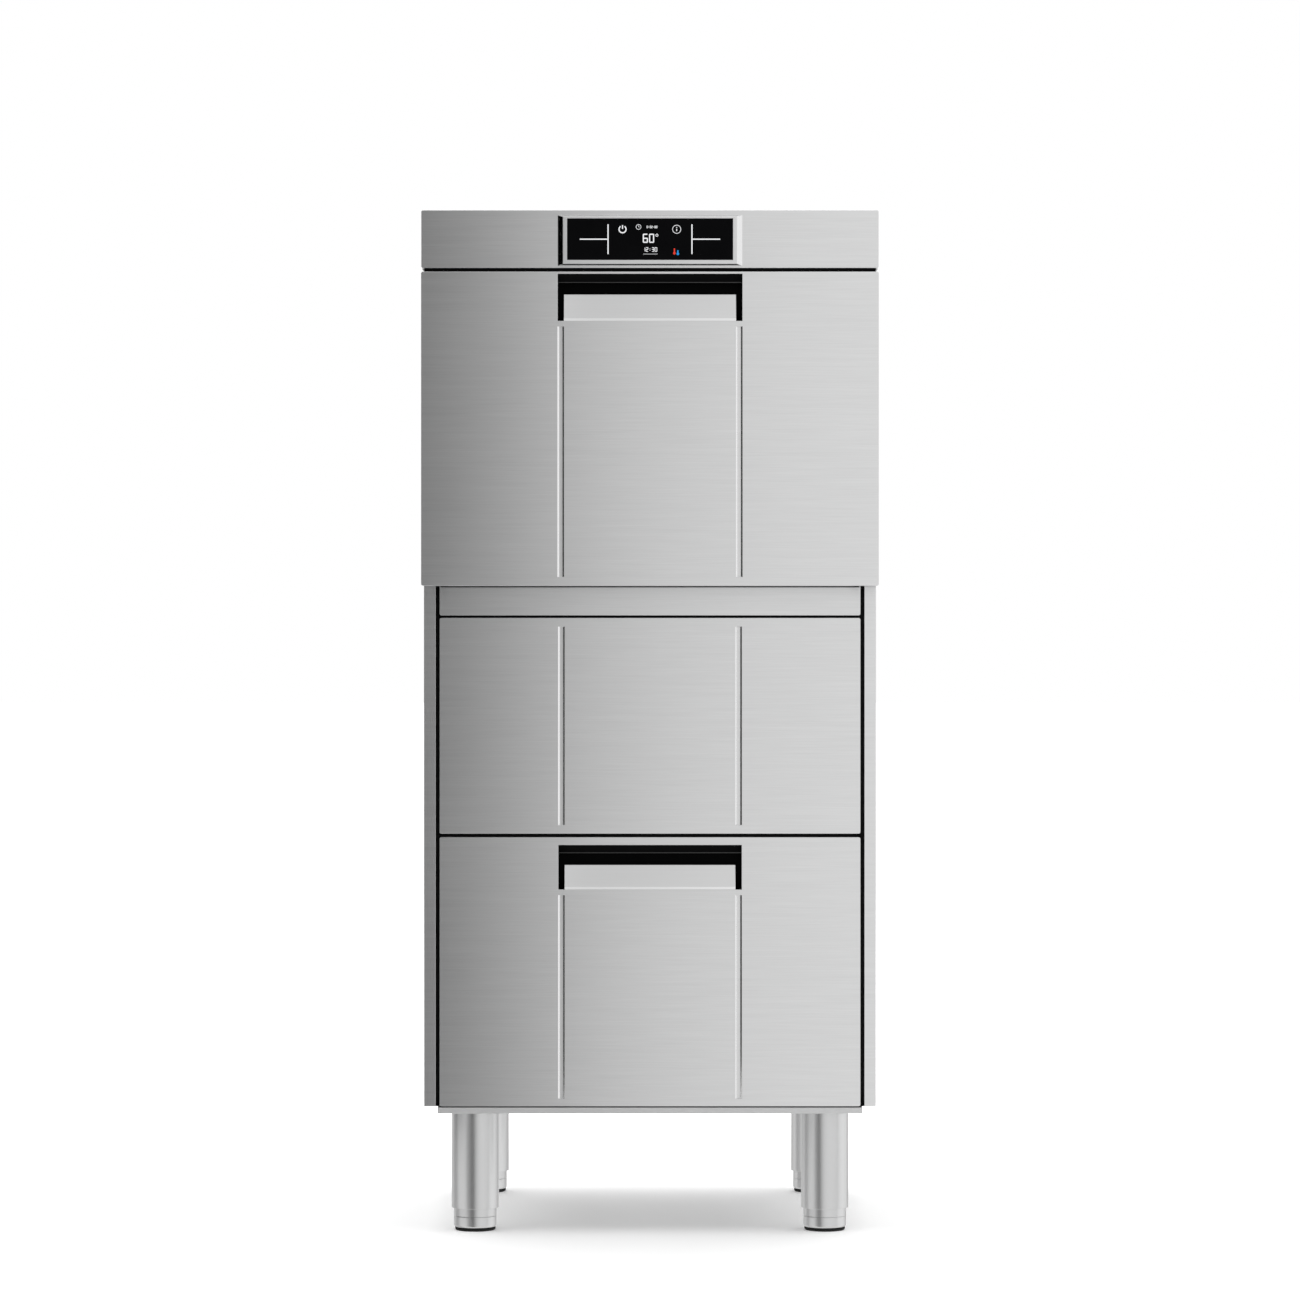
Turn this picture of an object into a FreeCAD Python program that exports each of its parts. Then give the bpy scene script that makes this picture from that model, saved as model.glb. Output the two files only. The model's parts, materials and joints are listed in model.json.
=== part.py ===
"""Upright stainless dishwasher on four legs, with a drop-down door over the wash chamber, a fixed
service panel below it and a pull-out drawer at the bottom.

Millimetres. +Z is up and -Y is the front. The origin is on the floor, under the middle of the
machine. Every size is a cell of the spreadsheet "dim", and every feature is bound to those cells.
"""

import FreeCAD, Part
import math
import os

import Sketcher

V = FreeCAD.Vector
PIPE_SIDES = 8
ROUND_SIDES = 20
NUT_SIDES = 6
AXES = {"X": V(1, 0, 0), "Y": V(0, 1, 0), "Z": V(0, 0, 1)}

# The driving dimensions: name, value, meaning.
SIZES = [
    ("overall_width", 600, "width of the door and the hood"),
    ("overall_depth", 600, "door skin to the rear of the hood"),
    ("sheet", 1.2, "gauge of the outer panels and the wash chamber"),
    ("plate", 2, "gauge of the base tray"),
    ("corner_radius", 2.4, "rounded corners of the outer panels"),
    ("leg_height", 160.7, "floor to the underside of the base tray"),
    ("tray_lip", 8, "height of the base tray seen from the front"),
    ("tray_gap", 1.6, "gap between the tray lip and the drawer front"),
    ("drawer_front_height", 355.4, "height of the drawer front"),
    ("drawer_gap", 4.7, "gap between the drawer front and the service panel"),
    ("service_panel_height", 285, "height of the fixed middle panel"),
    ("sill_gap", 3.3, "gap between the service panel and the sill strip"),
    ("sill_height", 38.6, "height of the sill strip seen below the door"),
    ("door_height", 411.7, "height of the door"),
    ("hood_gap", 5.2, "gap between the door and the hood"),
    ("hood_height", 75.8, "height of the hood and its control fascia"),
    ("door_thickness", 40, "door skin to inner skin"),
    ("seal_gap", 5, "inner skin of the door to the face of the cabinet"),
    ("panel_depth", 18, "depth of the folded front panels"),
    ("flange_width", 15.4, "front flange of a side panel"),
    ("side_gap", 5.1, "shadow gap between a flange and the front panels"),
    ("fit", 0.3, "clearance between sheets that slide into each other"),
    ("tray_overhang", 2.7, "how far the tray stands wider than the front panels"),
    ("rear_flange", 18, "rear flange of a side panel"),
    ("foot_flange", 26, "bottom flange of a side panel, on the tray"),
    ("hood_lap", 25, "how far the side panels reach up into the hood"),
    ("fascia_depth", 25, "depth of the control fascia behind its face"),
    ("post", 20, "depth of a frame post"),
    ("post_wall", 1.5, "wall of the frame tubes"),
    ("rail_overlap", 6, "how far a front rail reaches behind each panel edge"),
    ("rear_recess", 37, "rear panel to the floor of the connection recess"),
    ("leg_radius", 31.5, "outside radius of a leg tube"),
    ("leg_wall", 2.6, "wall of a leg tube"),
    ("leg_cap", 8, "cap at the top of a leg, welded to the tray"),
    ("leg_side", 67, "side of the machine to the leg axes"),
    ("leg_inset", 62, "leg axis to the cabinet's front face and to its rear"),
    ("foot_clearance", 0.4, "radial clearance of the foot sleeve in its leg"),
    ("foot_show", 26.5, "length of sleeve seen below the leg tube"),
    ("foot_grip", 58, "length of sleeve inside the leg tube"),
    ("pad_height", 3.5, "rubber pad under the foot"),
    ("pad_inset", 1.5, "how far the pad stands inside the sleeve"),
    ("groove_offset", 117, "machine centre to the middle of a pressed groove"),
    ("groove_width", 8.4, "width of a pressed groove"),
    ("groove_depth", 1.8, "depth of a pressed groove"),
    ("groove_slope", 2, "how far a groove narrows on each side at its bottom"),
    ("door_groove_top", 71.8, "door top to groove top"),
    ("door_groove_foot", 11.5, "door bottom to groove foot"),
    ("service_groove_inset", 11.5, "service panel edges to groove ends"),
    ("drawer_groove_top", 76.3, "drawer front top to groove top"),
    ("drawer_groove_foot", 10.3, "drawer front bottom to groove foot"),
    ("handle_half_width", 121, "half the width of a handle recess"),
    ("grip_half_width", 113, "half the width of a grip plate"),
    ("door_handle_drop", 2.8, "door top to handle recess"),
    ("drawer_handle_drop", 10.3, "drawer front top to handle recess"),
    ("door_handle_height", 61.8, "height of the door's handle recess"),
    ("drawer_handle_height", 58.8, "height of the drawer's handle recess"),
    ("handle_mouth", 26.5, "recess top to the top of the grip plate"),
    ("grip_lean", 8, "how far the grip plate leans back at its top"),
    ("grip_gauge", 1.5, "gauge of the grip plate"),
    ("grip_lip", 3.5, "straight strip at the foot of the grip plate"),
    ("scoop_depth", 28, "depth of the handle scoop behind the skin"),
    ("scoop_wall", 1.5, "wall of the handle scoop"),
    ("scoop_ridge_drop", 10.5, "recess top to the ridge of the scoop's brow"),
    ("scoop_ridge_depth", 9, "how far back the ridge of the brow lies"),
    ("scoop_brow_rise", 4, "how far the scoop's roof rises again behind the ridge"),
    ("scoop_foot_slope", 8, "bevel at the foot of the scoop's back wall"),
    ("bezel_half_width", 121, "half the width of the display frame"),
    ("bezel_foot", 2.7, "hood bottom to display frame"),
    ("bezel_top", 6.6, "hood top to display frame"),
    ("bezel_side_slope", 7, "width of the bevel left and right"),
    ("bezel_end_slope", 2.4, "width of the bevel above and below"),
    ("bezel_height", 5, "how far the display frame stands out of the fascia"),
    ("glass_half_width", 108.6, "half the width of the display glass"),
    ("glass_foot", 10.2, "hood bottom to display glass"),
    ("glass_top", 11.3, "hood top to display glass"),
    ("glass_thickness", 3, "thickness of the display glass"),
    ("glass_inset", 0.4, "how far the glass lies behind the face of its frame"),
    ("glass_fit", 0.1, "clearance round the display glass"),
    ("control_depth", 45, "depth of the control electronics"),
    ("control_half_width", 140, "half the width of the control electronics"),
    ("control_inset", 8, "control electronics to the hood's top and bottom edges"),
    ("chamber_side", 45, "side of the machine to the chamber's side wall, inside"),
    ("chamber_back", 45, "rear of the machine to the chamber's rear wall, inside"),
    ("ceiling_drop", 20, "hood top to the chamber's ceiling, inside"),
    ("opening_head", 11, "door top to the top of the chamber's opening"),
    ("sill_lap", 3, "how far the sill strip reaches up behind the door"),
    ("frame_head", 22, "chamber opening to the top of the door frame"),
    ("tank_floor", 775, "floor of the wash tank, inside"),
    ("sump_radius", 75, "radius of the sump well"),
    ("sump_depth", 40, "depth of the sump well"),
    ("sump_side", 105, "sump axis to the chamber's left wall"),
    ("seal_width", 9, "width of the door seal"),
    ("seal_inset", 1.5, "chamber opening to the door seal"),
    ("hinge_drop", 8.8, "door bottom to hinge axis"),
    ("hinge_back", 15, "hinge axis to the door's inner skin"),
    ("hinge_side", 29, "side of the machine to the middle of a hinge bracket"),
    ("hinge_gauge", 6, "thickness of a hinge bracket"),
    ("hinge_nose", 7.5, "radius of a hinge bracket's nose"),
    ("hinge_arm_drop", 3.5, "hinge axis to the underside of a bracket's arm"),
    ("hinge_foot", 3, "gauge of a hinge bracket's foot"),
    ("ear_gauge", 6, "thickness of the hinge ears on the door"),
    ("ear_height", 34, "height of the door's hinge ears"),
    ("ear_depth", 34, "depth of the door's hinge ears"),
    ("hinge_play", 0.5, "side play between a bracket and its ear"),
    ("pin_radius", 4, "hinge pin"),
    ("pin_clearance", 0.05, "radial clearance of the hinge pin"),
    ("pin_reach", 2, "how far a pin stands out of its bracket"),
    ("notch_play", 2, "clearance round a hinge bracket in the door"),
    ("glide_side", 60, "chamber's side wall to a rack glide on the door"),
    ("glide_width", 12, "width of a rack glide"),
    ("glide_height", 3.2, "height of a rack glide"),
    ("glide_margin", 40, "chamber opening to the ends of a rack glide"),
    ("rack_level", 885, "underside of the dish rack"),
    ("rail_width", 24, "width of a rack rail"),
    ("rail_rise", 16, "height of a rack rail's wall leg"),
    ("rail_gauge", 1.5, "gauge of the rack rails"),
    ("rack_play", 5, "dish rack to the chamber's walls and to the cabinet's front"),
    ("rack_height", 100, "height of the dish rack"),
    ("rack_wall", 4, "wall of the dish rack"),
    ("rack_floor", 4, "thickness of the rack's floor grid"),
    ("rack_frame", 22, "solid border of the rack's floor and walls"),
    ("rack_bar", 8, "bars between the rack's openings"),
    ("rack_cells", 5, "openings along each side of the rack"),
    ("peg_height", 55, "height of the rack's pegs"),
    ("peg_foot", 3.5, "half the width of a peg at its foot"),
    ("peg_tip", 1.8, "half the width of a peg at its tip"),
    ("arm_gap", 7.5, "tip of a wash arm to the chamber's front wall"),
    ("wash_arm_width", 46, "width of a wash arm at its hub"),
    ("wash_arm_tip", 26, "width of a wash arm at its tip"),
    ("wash_arm_height", 16, "thickness of a wash arm"),
    ("rinse_arm_width", 24, "width of a rinse arm at its hub"),
    ("rinse_arm_tip", 14, "width of a rinse arm at its tip"),
    ("rinse_arm_height", 9, "thickness of a rinse arm"),
    ("hub_radius", 34, "hub of a wash arm"),
    ("hub_rise", 6, "how far a wash arm's hub stands above the arm"),
    ("rinse_hub_radius", 24, "hub of a rinse arm"),
    ("spindle_radius", 14, "spindle that the arms turn on"),
    ("spindle_clearance", 0.1, "radial clearance of the arms on their spindle"),
    ("arm_play", 0.5, "end play between the arms on a spindle"),
    ("nut_radius", 19, "nut that keeps the arms on their spindle"),
    ("nut_height", 6, "height of that nut"),
    ("manifold_radius", 30, "base of an arm spindle"),
    ("lower_arm_level", 836, "underside of the lower wash arm"),
    ("jet_half", 5, "half the side of a spray jet on a wash arm"),
    ("jet_height", 3, "height of a spray jet"),
    ("jet_pitch", 62, "distance between the spray jets"),
    ("jet_count", 3, "spray jets on each half of a wash arm"),
    ("filter_level", 818, "underside of the surface filter"),
    ("filter_rim", 8, "height of the filter's rim"),
    ("filter_play", 3, "filter edge to the chamber walls"),
    ("ledge_width", 20, "ledge under the filter's side edges"),
    ("strainer_radius", 60, "basket strainer over the sump"),
    ("strainer_depth", 62, "depth of the basket strainer"),
    ("strainer_rim", 6, "how far the basket's rim reaches over the filter"),
    ("overflow_radius", 16, "overflow standpipe"),
    ("overflow_side", 105, "standpipe to the chamber's right wall"),
    ("overflow_height", 42, "height of the standpipe"),
    ("heater_radius", 4.5, "rod of the tank heater"),
    ("heater_level", 795, "axis of the tank heater"),
    ("heater_near", 62, "inner leg of the heater, from the centre"),
    ("heater_side", 40, "outer leg of the heater to the chamber's right wall"),
    ("heater_bend", 35, "bend radius of the tank heater"),
    ("deck_drop", 2.3, "drawer front top to the deck over the drawer bay"),
    ("bay_side", 30, "side of the machine to the drawer bay's side, inside"),
    ("slide_length", 455, "length of a drawer slide"),
    ("slide_setback", 6, "front of the slides behind the drawer's front"),
    ("slide_level", 300, "axis of the drawer slides above the floor"),
    ("slide_gauge", 1.4, "gauge of the slide sections"),
    ("slide_half_height", 15, "half the height of the inner slide section"),
    ("slide_space", 13, "width that a drawer slide takes"),
    ("slide_flange", 5, "width of the inner slide section"),
    ("slide_clearance", 0.4, "clearance between slide sections"),
    ("drawer_depth", 462, "depth of the drawer box"),
    ("drawer_floor", 186, "underside of the drawer box above the floor"),
    ("drawer_side", 255, "height of the drawer box's sides"),
    ("drawer_rim", 7, "folded rim on the drawer box"),
    ("pump_level", 650, "axis of the wash pump above the floor"),
    ("volute_radius", 72, "casing of the wash pump"),
    ("volute_width", 56, "width of the pump casing"),
    ("motor_radius", 58, "body of the pump motor"),
    ("motor_length", 165, "length of the pump motor"),
    ("motor_foot", 40, "length of the motor's foot"),
    ("motor_foot_half", 35, "half the width of the motor's foot"),
    ("volute_eye", 50, "raised ring of the pump casing round its inlet"),
    ("volute_step", 14, "height of that ring"),
    ("suction_radius", 22, "outside radius of the suction hose"),
    ("suction_bend", 45, "bend radius of the suction hose"),
    ("riser_radius", 13, "outside radius of the riser pipe"),
    ("manifold_rim", 4, "shoulder of a manifold above and below the pipe"),
    ("riser_bend", 17, "bend radius of the riser pipe"),
    ("riser_play", 5, "riser pipe to the chamber's walls"),
    ("riser_drop", 26, "tank floor to the riser's branch below it"),
    ("feed_radius", 20, "outside radius of the pump's delivery pipe"),
    ("boiler_radius", 75, "rinse boiler"),
    ("boiler_length", 300, "length of the rinse boiler"),
    ("boiler_end", 12, "how far the boiler's end caps stand out"),
    ("boiler_back", 135, "rear of the machine to the boiler's axis"),
    ("boiler_side", 45, "right side of the machine to the boiler's end"),
    ("cradle_height", 14, "height of the cradle under the boiler"),
    ("cradle_width", 24, "width of a boiler cradle"),
    ("cradle_half_depth", 52, "half the depth of a boiler cradle"),
    ("boiler_cap", 62, "radius of those end caps"),
    ("drain_pump_radius", 34, "casing of the drain pump"),
    ("drain_pump_height", 66, "height of the drain pump's casing"),
    ("drain_motor_radius", 26, "motor on the drain pump"),
    ("drain_motor_height", 38, "height of that motor"),
    ("drain_side", 95, "left side of the machine to the drain pump and its spigot"),
    ("drain_pump_front", 30, "drain pump in front of the centre"),
    ("drain_hose_radius", 12, "outside radius of the drain hoses"),
    ("doser_width", 62, "side of a dosing pump"),
    ("doser_depth", 52, "depth of a dosing pump"),
    ("doser_level", 690, "middle of the dosing pumps above the floor"),
    ("doser_pitch", 80, "distance between the two dosing pumps"),
    ("doser_side", 110, "right side of the machine to the middle of the dosing pumps"),
    ("port_level", 565, "height of the connections above the floor"),
    ("recess_half_height", 36, "half the height of the connection recess"),
    ("recess_margin", 25, "connection recess beyond its outer ports"),
    ("port_flange", 2.5, "thickness of the flange of each connection"),
    ("inlet_side", 170, "left side of the machine to the water inlet"),
    ("inlet_radius", 13.2, "outside radius of the inlet thread"),
    ("inlet_bore", 9, "bore of the water inlet"),
    ("inlet_length", 16, "length of the inlet thread"),
    ("inlet_body", 42, "side of the inlet valve's body"),
    ("inlet_coil", 13, "radius of the inlet valve's coil"),
    ("drain_radius", 14, "outside radius of the drain spigot"),
    ("drain_length", 26, "length of the drain spigot"),
    ("drain_bore", 11, "bore of the drain spigot"),
    ("gland_side", 55, "left side of the machine to the cable gland"),
    ("gland_radius", 14, "body of the cable gland"),
    ("gland_bore", 6.5, "bore of the cable gland"),
    ("gland_length", 18, "how far the gland stands out"),
    ("louvre_width", 90, "length of a ventilation slot"),
    ("louvre_height", 5, "height of a ventilation slot"),
    ("louvre_pitch", 14, "pitch of the ventilation slots"),
    ("louvre_count", 8, "number of ventilation slots in a column"),
    ("louvre_side", 160, "side of the machine to the middle of a column of slots"),
    ("louvre_level", 760, "lowest ventilation slot above the floor"),
    ("screw_radius", 4.6, "rear panel screw, middle to a corner of its hexagon head"),
    ("screw_head", 2, "height of a rear panel screw's head"),
    ("screw_inset", 9, "rear panel's edge to its screws"),
    ("screw_count", 5, "screws along each edge of the rear panel"),
]

doc = FreeCAD.newDocument("dishwasher")
sheet = doc.addObject("Spreadsheet::Sheet", "dim")
for row, (alias, value, meaning) in enumerate(SIZES, start=1):
    sheet.set(f"A{row}", alias)
    sheet.set(f"B{row}", str(value))
    sheet.set(f"C{row}", meaning)
    sheet.setAlias(f"B{row}", alias)
doc.recompute()


class Length:
    """A length: its formula over the spreadsheet's cells, and the formula's present value."""

    def __init__(self, text, value):
        self.text = text
        self.value = value

    def __str__(self):
        return self.text

    def join(self, sign, other, value):
        return Length(f"({self} {sign} {other})", value)

    def __add__(self, other):
        return self.join("+", other, self.value + length(other).value)

    def __sub__(self, other):
        return self.join("-", other, self.value - length(other).value)

    def __mul__(self, other):
        return self.join("*", other, self.value * length(other).value)

    def __truediv__(self, other):
        return self.join("/", other, self.value / length(other).value)

    def __neg__(self):
        return Length(f"(0 - {self})", -self.value)


def length(value):
    """Any number as a Length."""
    return value if isinstance(value, Length) else Length(str(value), float(value))


class Dimensions:
    """Gives each cell of the spreadsheet as a Length: dim.sheet, dim.door_height."""

    def __getattr__(self, alias):
        return Length(f"dim.{alias}", float(sheet.get(alias)))


dim = Dimensions()


class Circle:
    """A round loop of a profile."""

    def __init__(self, x, y, radius):
        self.x, self.y, self.radius = length(x), length(y), length(radius)


def rectangle(x0, x1, y0, y1):
    """The four corners of a rectangular loop."""
    return [(x0, y0), (x1, y0), (x1, y1), (x0, y1)]


def regular(x, y, radius, sides):
    """A regular polygon round a point, with a corner on the first axis."""
    steps = [2 * math.pi * i / sides for i in range(sides)]
    radius = length(radius)
    return [(radius * round(math.cos(a), 6) + x, radius * round(math.sin(a), 6) + y) for a in steps]


def pin_point(sketch, geometry, end, spot):
    """Ties a point of the sketch to its coordinates."""
    for kind, axis, coordinate in zip(("DistanceX", "DistanceY"), (-2, -1), spot):
        at_now = length(coordinate).value
        if at_now == 0:
            sketch.addConstraint(Sketcher.Constraint("PointOnObject", geometry, end, axis))
            continue
        place = sketch.addConstraint(Sketcher.Constraint(kind, -1, 1, geometry, end, at_now))
        sketch.setExpression(f"Constraints[{place}]", str(coordinate))


def vector(spot):
    """The present place of a pair of Lengths."""
    return V(length(spot[0]).value, length(spot[1]).value, 0)


def draw_polygon(sketch, corners):
    """Draws a closed loop of straight lines."""
    first = sketch.GeometryCount
    count = len(corners)
    spots = [vector(corner) for corner in corners]
    for i in range(count):
        sketch.addGeometry(Part.LineSegment(spots[i], spots[(i + 1) % count]))
    for i in range(count):
        sketch.addConstraint(Sketcher.Constraint("Coincident", first + i, 2, first + (i + 1) % count, 1))
    for i, corner in enumerate(corners):
        pin_point(sketch, first + i, 1, corner)


def draw_circle(sketch, circle):
    """Draws a round loop."""
    centre = (circle.x, circle.y)
    at = sketch.addGeometry(Part.Circle(vector(centre), V(0, 0, 1), circle.radius.value))
    pin_point(sketch, at, 3, centre)
    size = sketch.addConstraint(Sketcher.Constraint("Radius", at, circle.radius.value))
    sketch.setExpression(f"Constraints[{size}]", str(circle.radius))


def direction(start, end):
    """The unit step from one corner of a path to the next, along X or along Y."""
    step = vector(end) - vector(start)
    return tuple(round(way) for way in step.normalize())[:2]


def new_body(label):
    """A body that becomes one node of the machine."""
    body = doc.addObject("PartDesign::Body", label)
    body.Label = label
    body.AllowCompound = True
    return body


def origin_feature(body, role):
    """One of the body's own origin planes or axes."""
    return [feature for feature in body.Origin.OriginFeatures if feature.Role == role][0]


def new_sketch(body, plane, position=0):
    """A sketch across XY, XZ or YZ, at a position along the third axis."""
    sketch = body.newObject("Sketcher::SketchObject", f"{body.Name}_sketch")
    sketch.AttachmentSupport = [(origin_feature(body, f"{plane}_Plane"), "")]
    sketch.MapMode = "FlatFace"
    offset = -length(position) if plane == "XZ" else length(position)
    sketch.setExpression("AttachmentOffset.Base.z", str(offset))
    return sketch


def draw_loops(sketch, loops):
    """Draws the loops of a profile, round or straight."""
    for loop in loops:
        if isinstance(loop, Circle):
            draw_circle(sketch, loop)
        else:
            draw_polygon(sketch, loop)


def new_feature(body, kind):
    """A named PartDesign feature of the body."""
    return body.newObject(f"PartDesign::{kind}", f"{body.Name}_{kind.lower()}")


def extrude(body, plane, low, high, loops, kind):
    """A pad or pocket of some loops between two positions along the plane's third axis."""
    sketch = new_sketch(body, plane, high if plane == "XZ" else low)
    draw_loops(sketch, loops)
    feature = new_feature(body, kind)
    feature.Profile = (sketch, [""])
    feature.setExpression("Length", str(length(high) - low))
    feature.Reversed = kind == "Pocket"
    return feature


def add(body, plane, low, high, *loops):
    """Adds a prism across XY, XZ or YZ, between two positions along the third axis."""
    return extrude(body, plane, low, high, loops, "Pad")


def cut(body, plane, low, high, *loops):
    """Cuts a prism, stated as for add."""
    return extrude(body, plane, low, high, loops, "Pocket")


def box(body, x0, x1, y0, y1, z0, z1):
    """Adds a rectangular block."""
    return add(body, "XY", z0, z1, rectangle(x0, x1, y0, y1))


def hollow(body, x0, x1, y0, y1, z0, z1):
    """Cuts a rectangular block."""
    return cut(body, "XY", z0, z1, rectangle(x0, x1, y0, y1))


def turn(body, corners, kind="Revolution"):
    """A turned shape: corners are (radius, height) about the body's own Z axis."""
    sketch = new_sketch(body, "XZ")
    draw_polygon(sketch, corners)
    feature = new_feature(body, kind)
    feature.Profile = (sketch, [""])
    feature.ReferenceAxis = (sketch, ["V_Axis"])
    feature.Angle = 360
    return feature


def taper(body, low, foot, high, top, kind="AdditiveLoft", plane="XY"):
    """A straight-sided loft between two loops at two positions along the plane's third axis."""
    feature = new_feature(body, kind)
    ends = []
    for position, loop in ((low, foot), (high, top)):
        end = new_sketch(body, plane, position)
        draw_polygon(end, loop)
        ends.append(end)
    feature.Profile = (ends[0], [""])
    feature.Sections = [(ends[1], [""])]
    feature.Ruled = True
    return feature


def rod(body, plane, position, corners, bend, radius):
    """A rod or hose with few sides: axis-parallel runs in a plane, and a quarter bend at each corner."""
    third = ({"X", "Y", "Z"} - set(plane)).pop()
    last = len(corners) - 2
    ways = [direction(*pair) for pair in zip(corners, corners[1:])]
    for i, way in enumerate(ways):
        index = 0 if way[0] else 1
        along, sign = plane[index], way[index]
        start, end = corners[i][index], corners[i + 1][index]
        if i > 0:
            start = start + bend * sign
        if i < last:
            end = end - bend * sign
        across = {"X": "YZ", "Y": "XZ", "Z": "XY"}[along]
        spot = {plane[0]: corners[i][0], plane[1]: corners[i][1], third: position}
        section = regular(spot[across[0]], spot[across[1]], radius, PIPE_SIDES)
        add(body, across, *((start, end) if sign > 0 else (end, start)), section)
        if i == last:
            break
        turn_index = 1 - index
        turn_sign = ways[i + 1][turn_index]
        turn_letter = plane[turn_index]
        pivot = dict(spot)
        pivot[turn_letter] = length(spot[turn_letter]) + bend * turn_sign
        reach = dict(pivot)
        reach[third] = length(pivot[third]) + radius
        ends = [(mark[across[0]], mark[across[1]]) for mark in (pivot, reach)]
        if (AXES[turn_letter] * turn_sign).cross(AXES[third]).dot(AXES[along] * sign) < 0:
            ends.reverse()
        sketch = new_sketch(body, across, end)
        draw_polygon(sketch, section)
        hinge = sketch.addGeometry(Part.LineSegment(*map(vector, ends)), True)
        pin_point(sketch, hinge, 1, ends[0])
        pin_point(sketch, hinge, 2, ends[1])
        elbow = new_feature(body, "Revolution")
        elbow.Profile = (sketch, [""])
        elbow.ReferenceAxis = (sketch, ["Axis0"])
        elbow.Angle = 90


def mirror(body, plane, *features):
    """Repeats features on the other side of one of the body's origin planes."""
    feature = new_feature(body, "Mirrored")
    feature.Originals = list(features)
    feature.MirrorPlane = (origin_feature(body, f"{plane}_Plane"), [""])
    body.Tip = feature
    return feature


def set_row(feature, body, axis, pitch, count):
    """Makes a linear pattern run along one of the body's axes."""
    feature.Direction = (origin_feature(body, f"{axis}_Axis"), [""])
    feature.Mode = "Spacing"
    feature.setExpression("Offset", str(pitch))
    feature.setExpression("Occurrences", str(count))


def row(body, features, axis, pitch, count):
    """Repeats features in a straight row."""
    feature = new_feature(body, "LinearPattern")
    feature.Originals = features
    set_row(feature, body, axis, pitch, count)
    body.Tip = feature
    return feature


def grid(body, features, first, second):
    """Repeats features in rows and columns: first and second are (axis, pitch, count)."""
    feature = new_feature(body, "MultiTransform")
    feature.Originals = features
    steps = []
    for axis, pitch, count in (first, second):
        step = new_feature(body, "LinearPattern")
        set_row(step, body, axis, pitch, count)
        steps.append(step)
    feature.Transformations = steps
    body.Tip = feature
    return feature


def round_edges(body, radius, pick):
    """Rounds those edges of the body's latest shape that pick chooses by their box."""
    doc.recompute()
    base = body.Tip
    names = [f"Edge{i}" for i, edge in enumerate(base.Shape.Edges, start=1) if pick(edge.BoundBox)]
    feature = new_feature(body, "Fillet")
    feature.Base = (base, names)
    feature.setExpression("Radius", str(radius))
    return feature


def place(body, x, y, z, axis="Z"):
    """Moves a body made about its own Z axis to its place, with that axis along X, Y or Z."""
    turns = {
        "X": FreeCAD.Rotation(V(0, 1, 0), 90),
        "Y": FreeCAD.Rotation(V(1, 0, 0), -90),
        "Z": FreeCAD.Rotation(),
    }
    body.Placement = FreeCAD.Placement(V(), turns[axis])
    for way, position in (("x", x), ("y", y), ("z", z)):
        body.setExpression(f"Placement.Base.{way}", str(position))


# Levels and planes that the pieces share
half_width = dim.overall_width / 2
front = -dim.overall_depth / 2
back = dim.overall_depth / 2
tray_bottom = dim.leg_height
lip_top = tray_bottom + dim.tray_lip
drawer_bottom = lip_top + dim.tray_gap
drawer_top = drawer_bottom + dim.drawer_front_height
service_bottom = drawer_top + dim.drawer_gap
service_top = service_bottom + dim.service_panel_height
sill_bottom = service_top + dim.sill_gap
door_bottom = sill_bottom + dim.sill_height
door_top = door_bottom + dim.door_height
hood_bottom = door_top + dim.hood_gap
hood_top = hood_bottom + dim.hood_height

door_back = front + dim.door_thickness
cabinet_front = door_back + dim.seal_gap
post_front = cabinet_front + dim.panel_depth
post_back = post_front + dim.post
chamber_half = half_width - dim.chamber_side
chamber_rear = back - dim.chamber_back
bay_half = half_width - dim.bay_side
side_out = half_width - dim.sheet - dim.fit
side_in = side_out - dim.sheet
flange_in = side_out - dim.flange_width
panel_half = flange_in - dim.side_gap
tray_half = panel_half + dim.tray_overhang
rear_out = back - dim.screw_head
rear_in = rear_out - dim.sheet
side_top = hood_bottom + dim.hood_lap
tray_rear = rear_in - dim.fit
tray_floor = tray_bottom + dim.plate
deck_under = drawer_top - dim.deck_drop
deck_top = deck_under + dim.sheet
bay_out = bay_half + dim.sheet
hinge_y = door_back - dim.hinge_back
hinge_z = door_bottom + dim.hinge_drop
sill_level = hinge_z + dim.hinge_back
opening_top = door_top - dim.opening_head
sill_top = door_bottom + dim.sill_lap
frame_top = opening_top + dim.frame_head
frame_half = flange_in - dim.fit
chamber_front = post_back + dim.fit
ceiling = hood_top - dim.ceiling_drop
tank_under = dim.tank_floor - dim.sheet
recess_floor = rear_out - dim.rear_recess
leg_half = half_width - dim.leg_side
leg_front = cabinet_front + dim.leg_inset
leg_rear = back - dim.leg_inset
hinge_middle = half_width - dim.hinge_side
inlet_x = dim.inlet_side - half_width
drain_x = dim.drain_side - half_width
gland_x = dim.gland_side - half_width
louvre_x = half_width - dim.louvre_side
sump_x = dim.sump_side - chamber_half


def groove(body, face, bottom, top):
    """A pair of upright pressed grooves, left and right, with their pressing behind the sheet."""
    middle = dim.groove_offset
    reach = dim.groove_width / 2
    narrow = reach - dim.groove_slope
    bed = face + dim.groove_depth
    outer = rectangle(
        middle - reach - dim.sheet,
        middle + reach + dim.sheet,
        face + dim.sheet,
        bed + dim.sheet,
    )
    trough = [
        (middle - reach, face),
        (middle + reach, face),
        (middle + narrow, bed),
        (middle - narrow, bed),
    ]
    pressing = add(body, "XY", bottom - dim.sheet, top + dim.sheet, outer)
    channel = cut(body, "XY", bottom, top, trough)
    return mirror(body, "YZ", pressing, channel)


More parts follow.
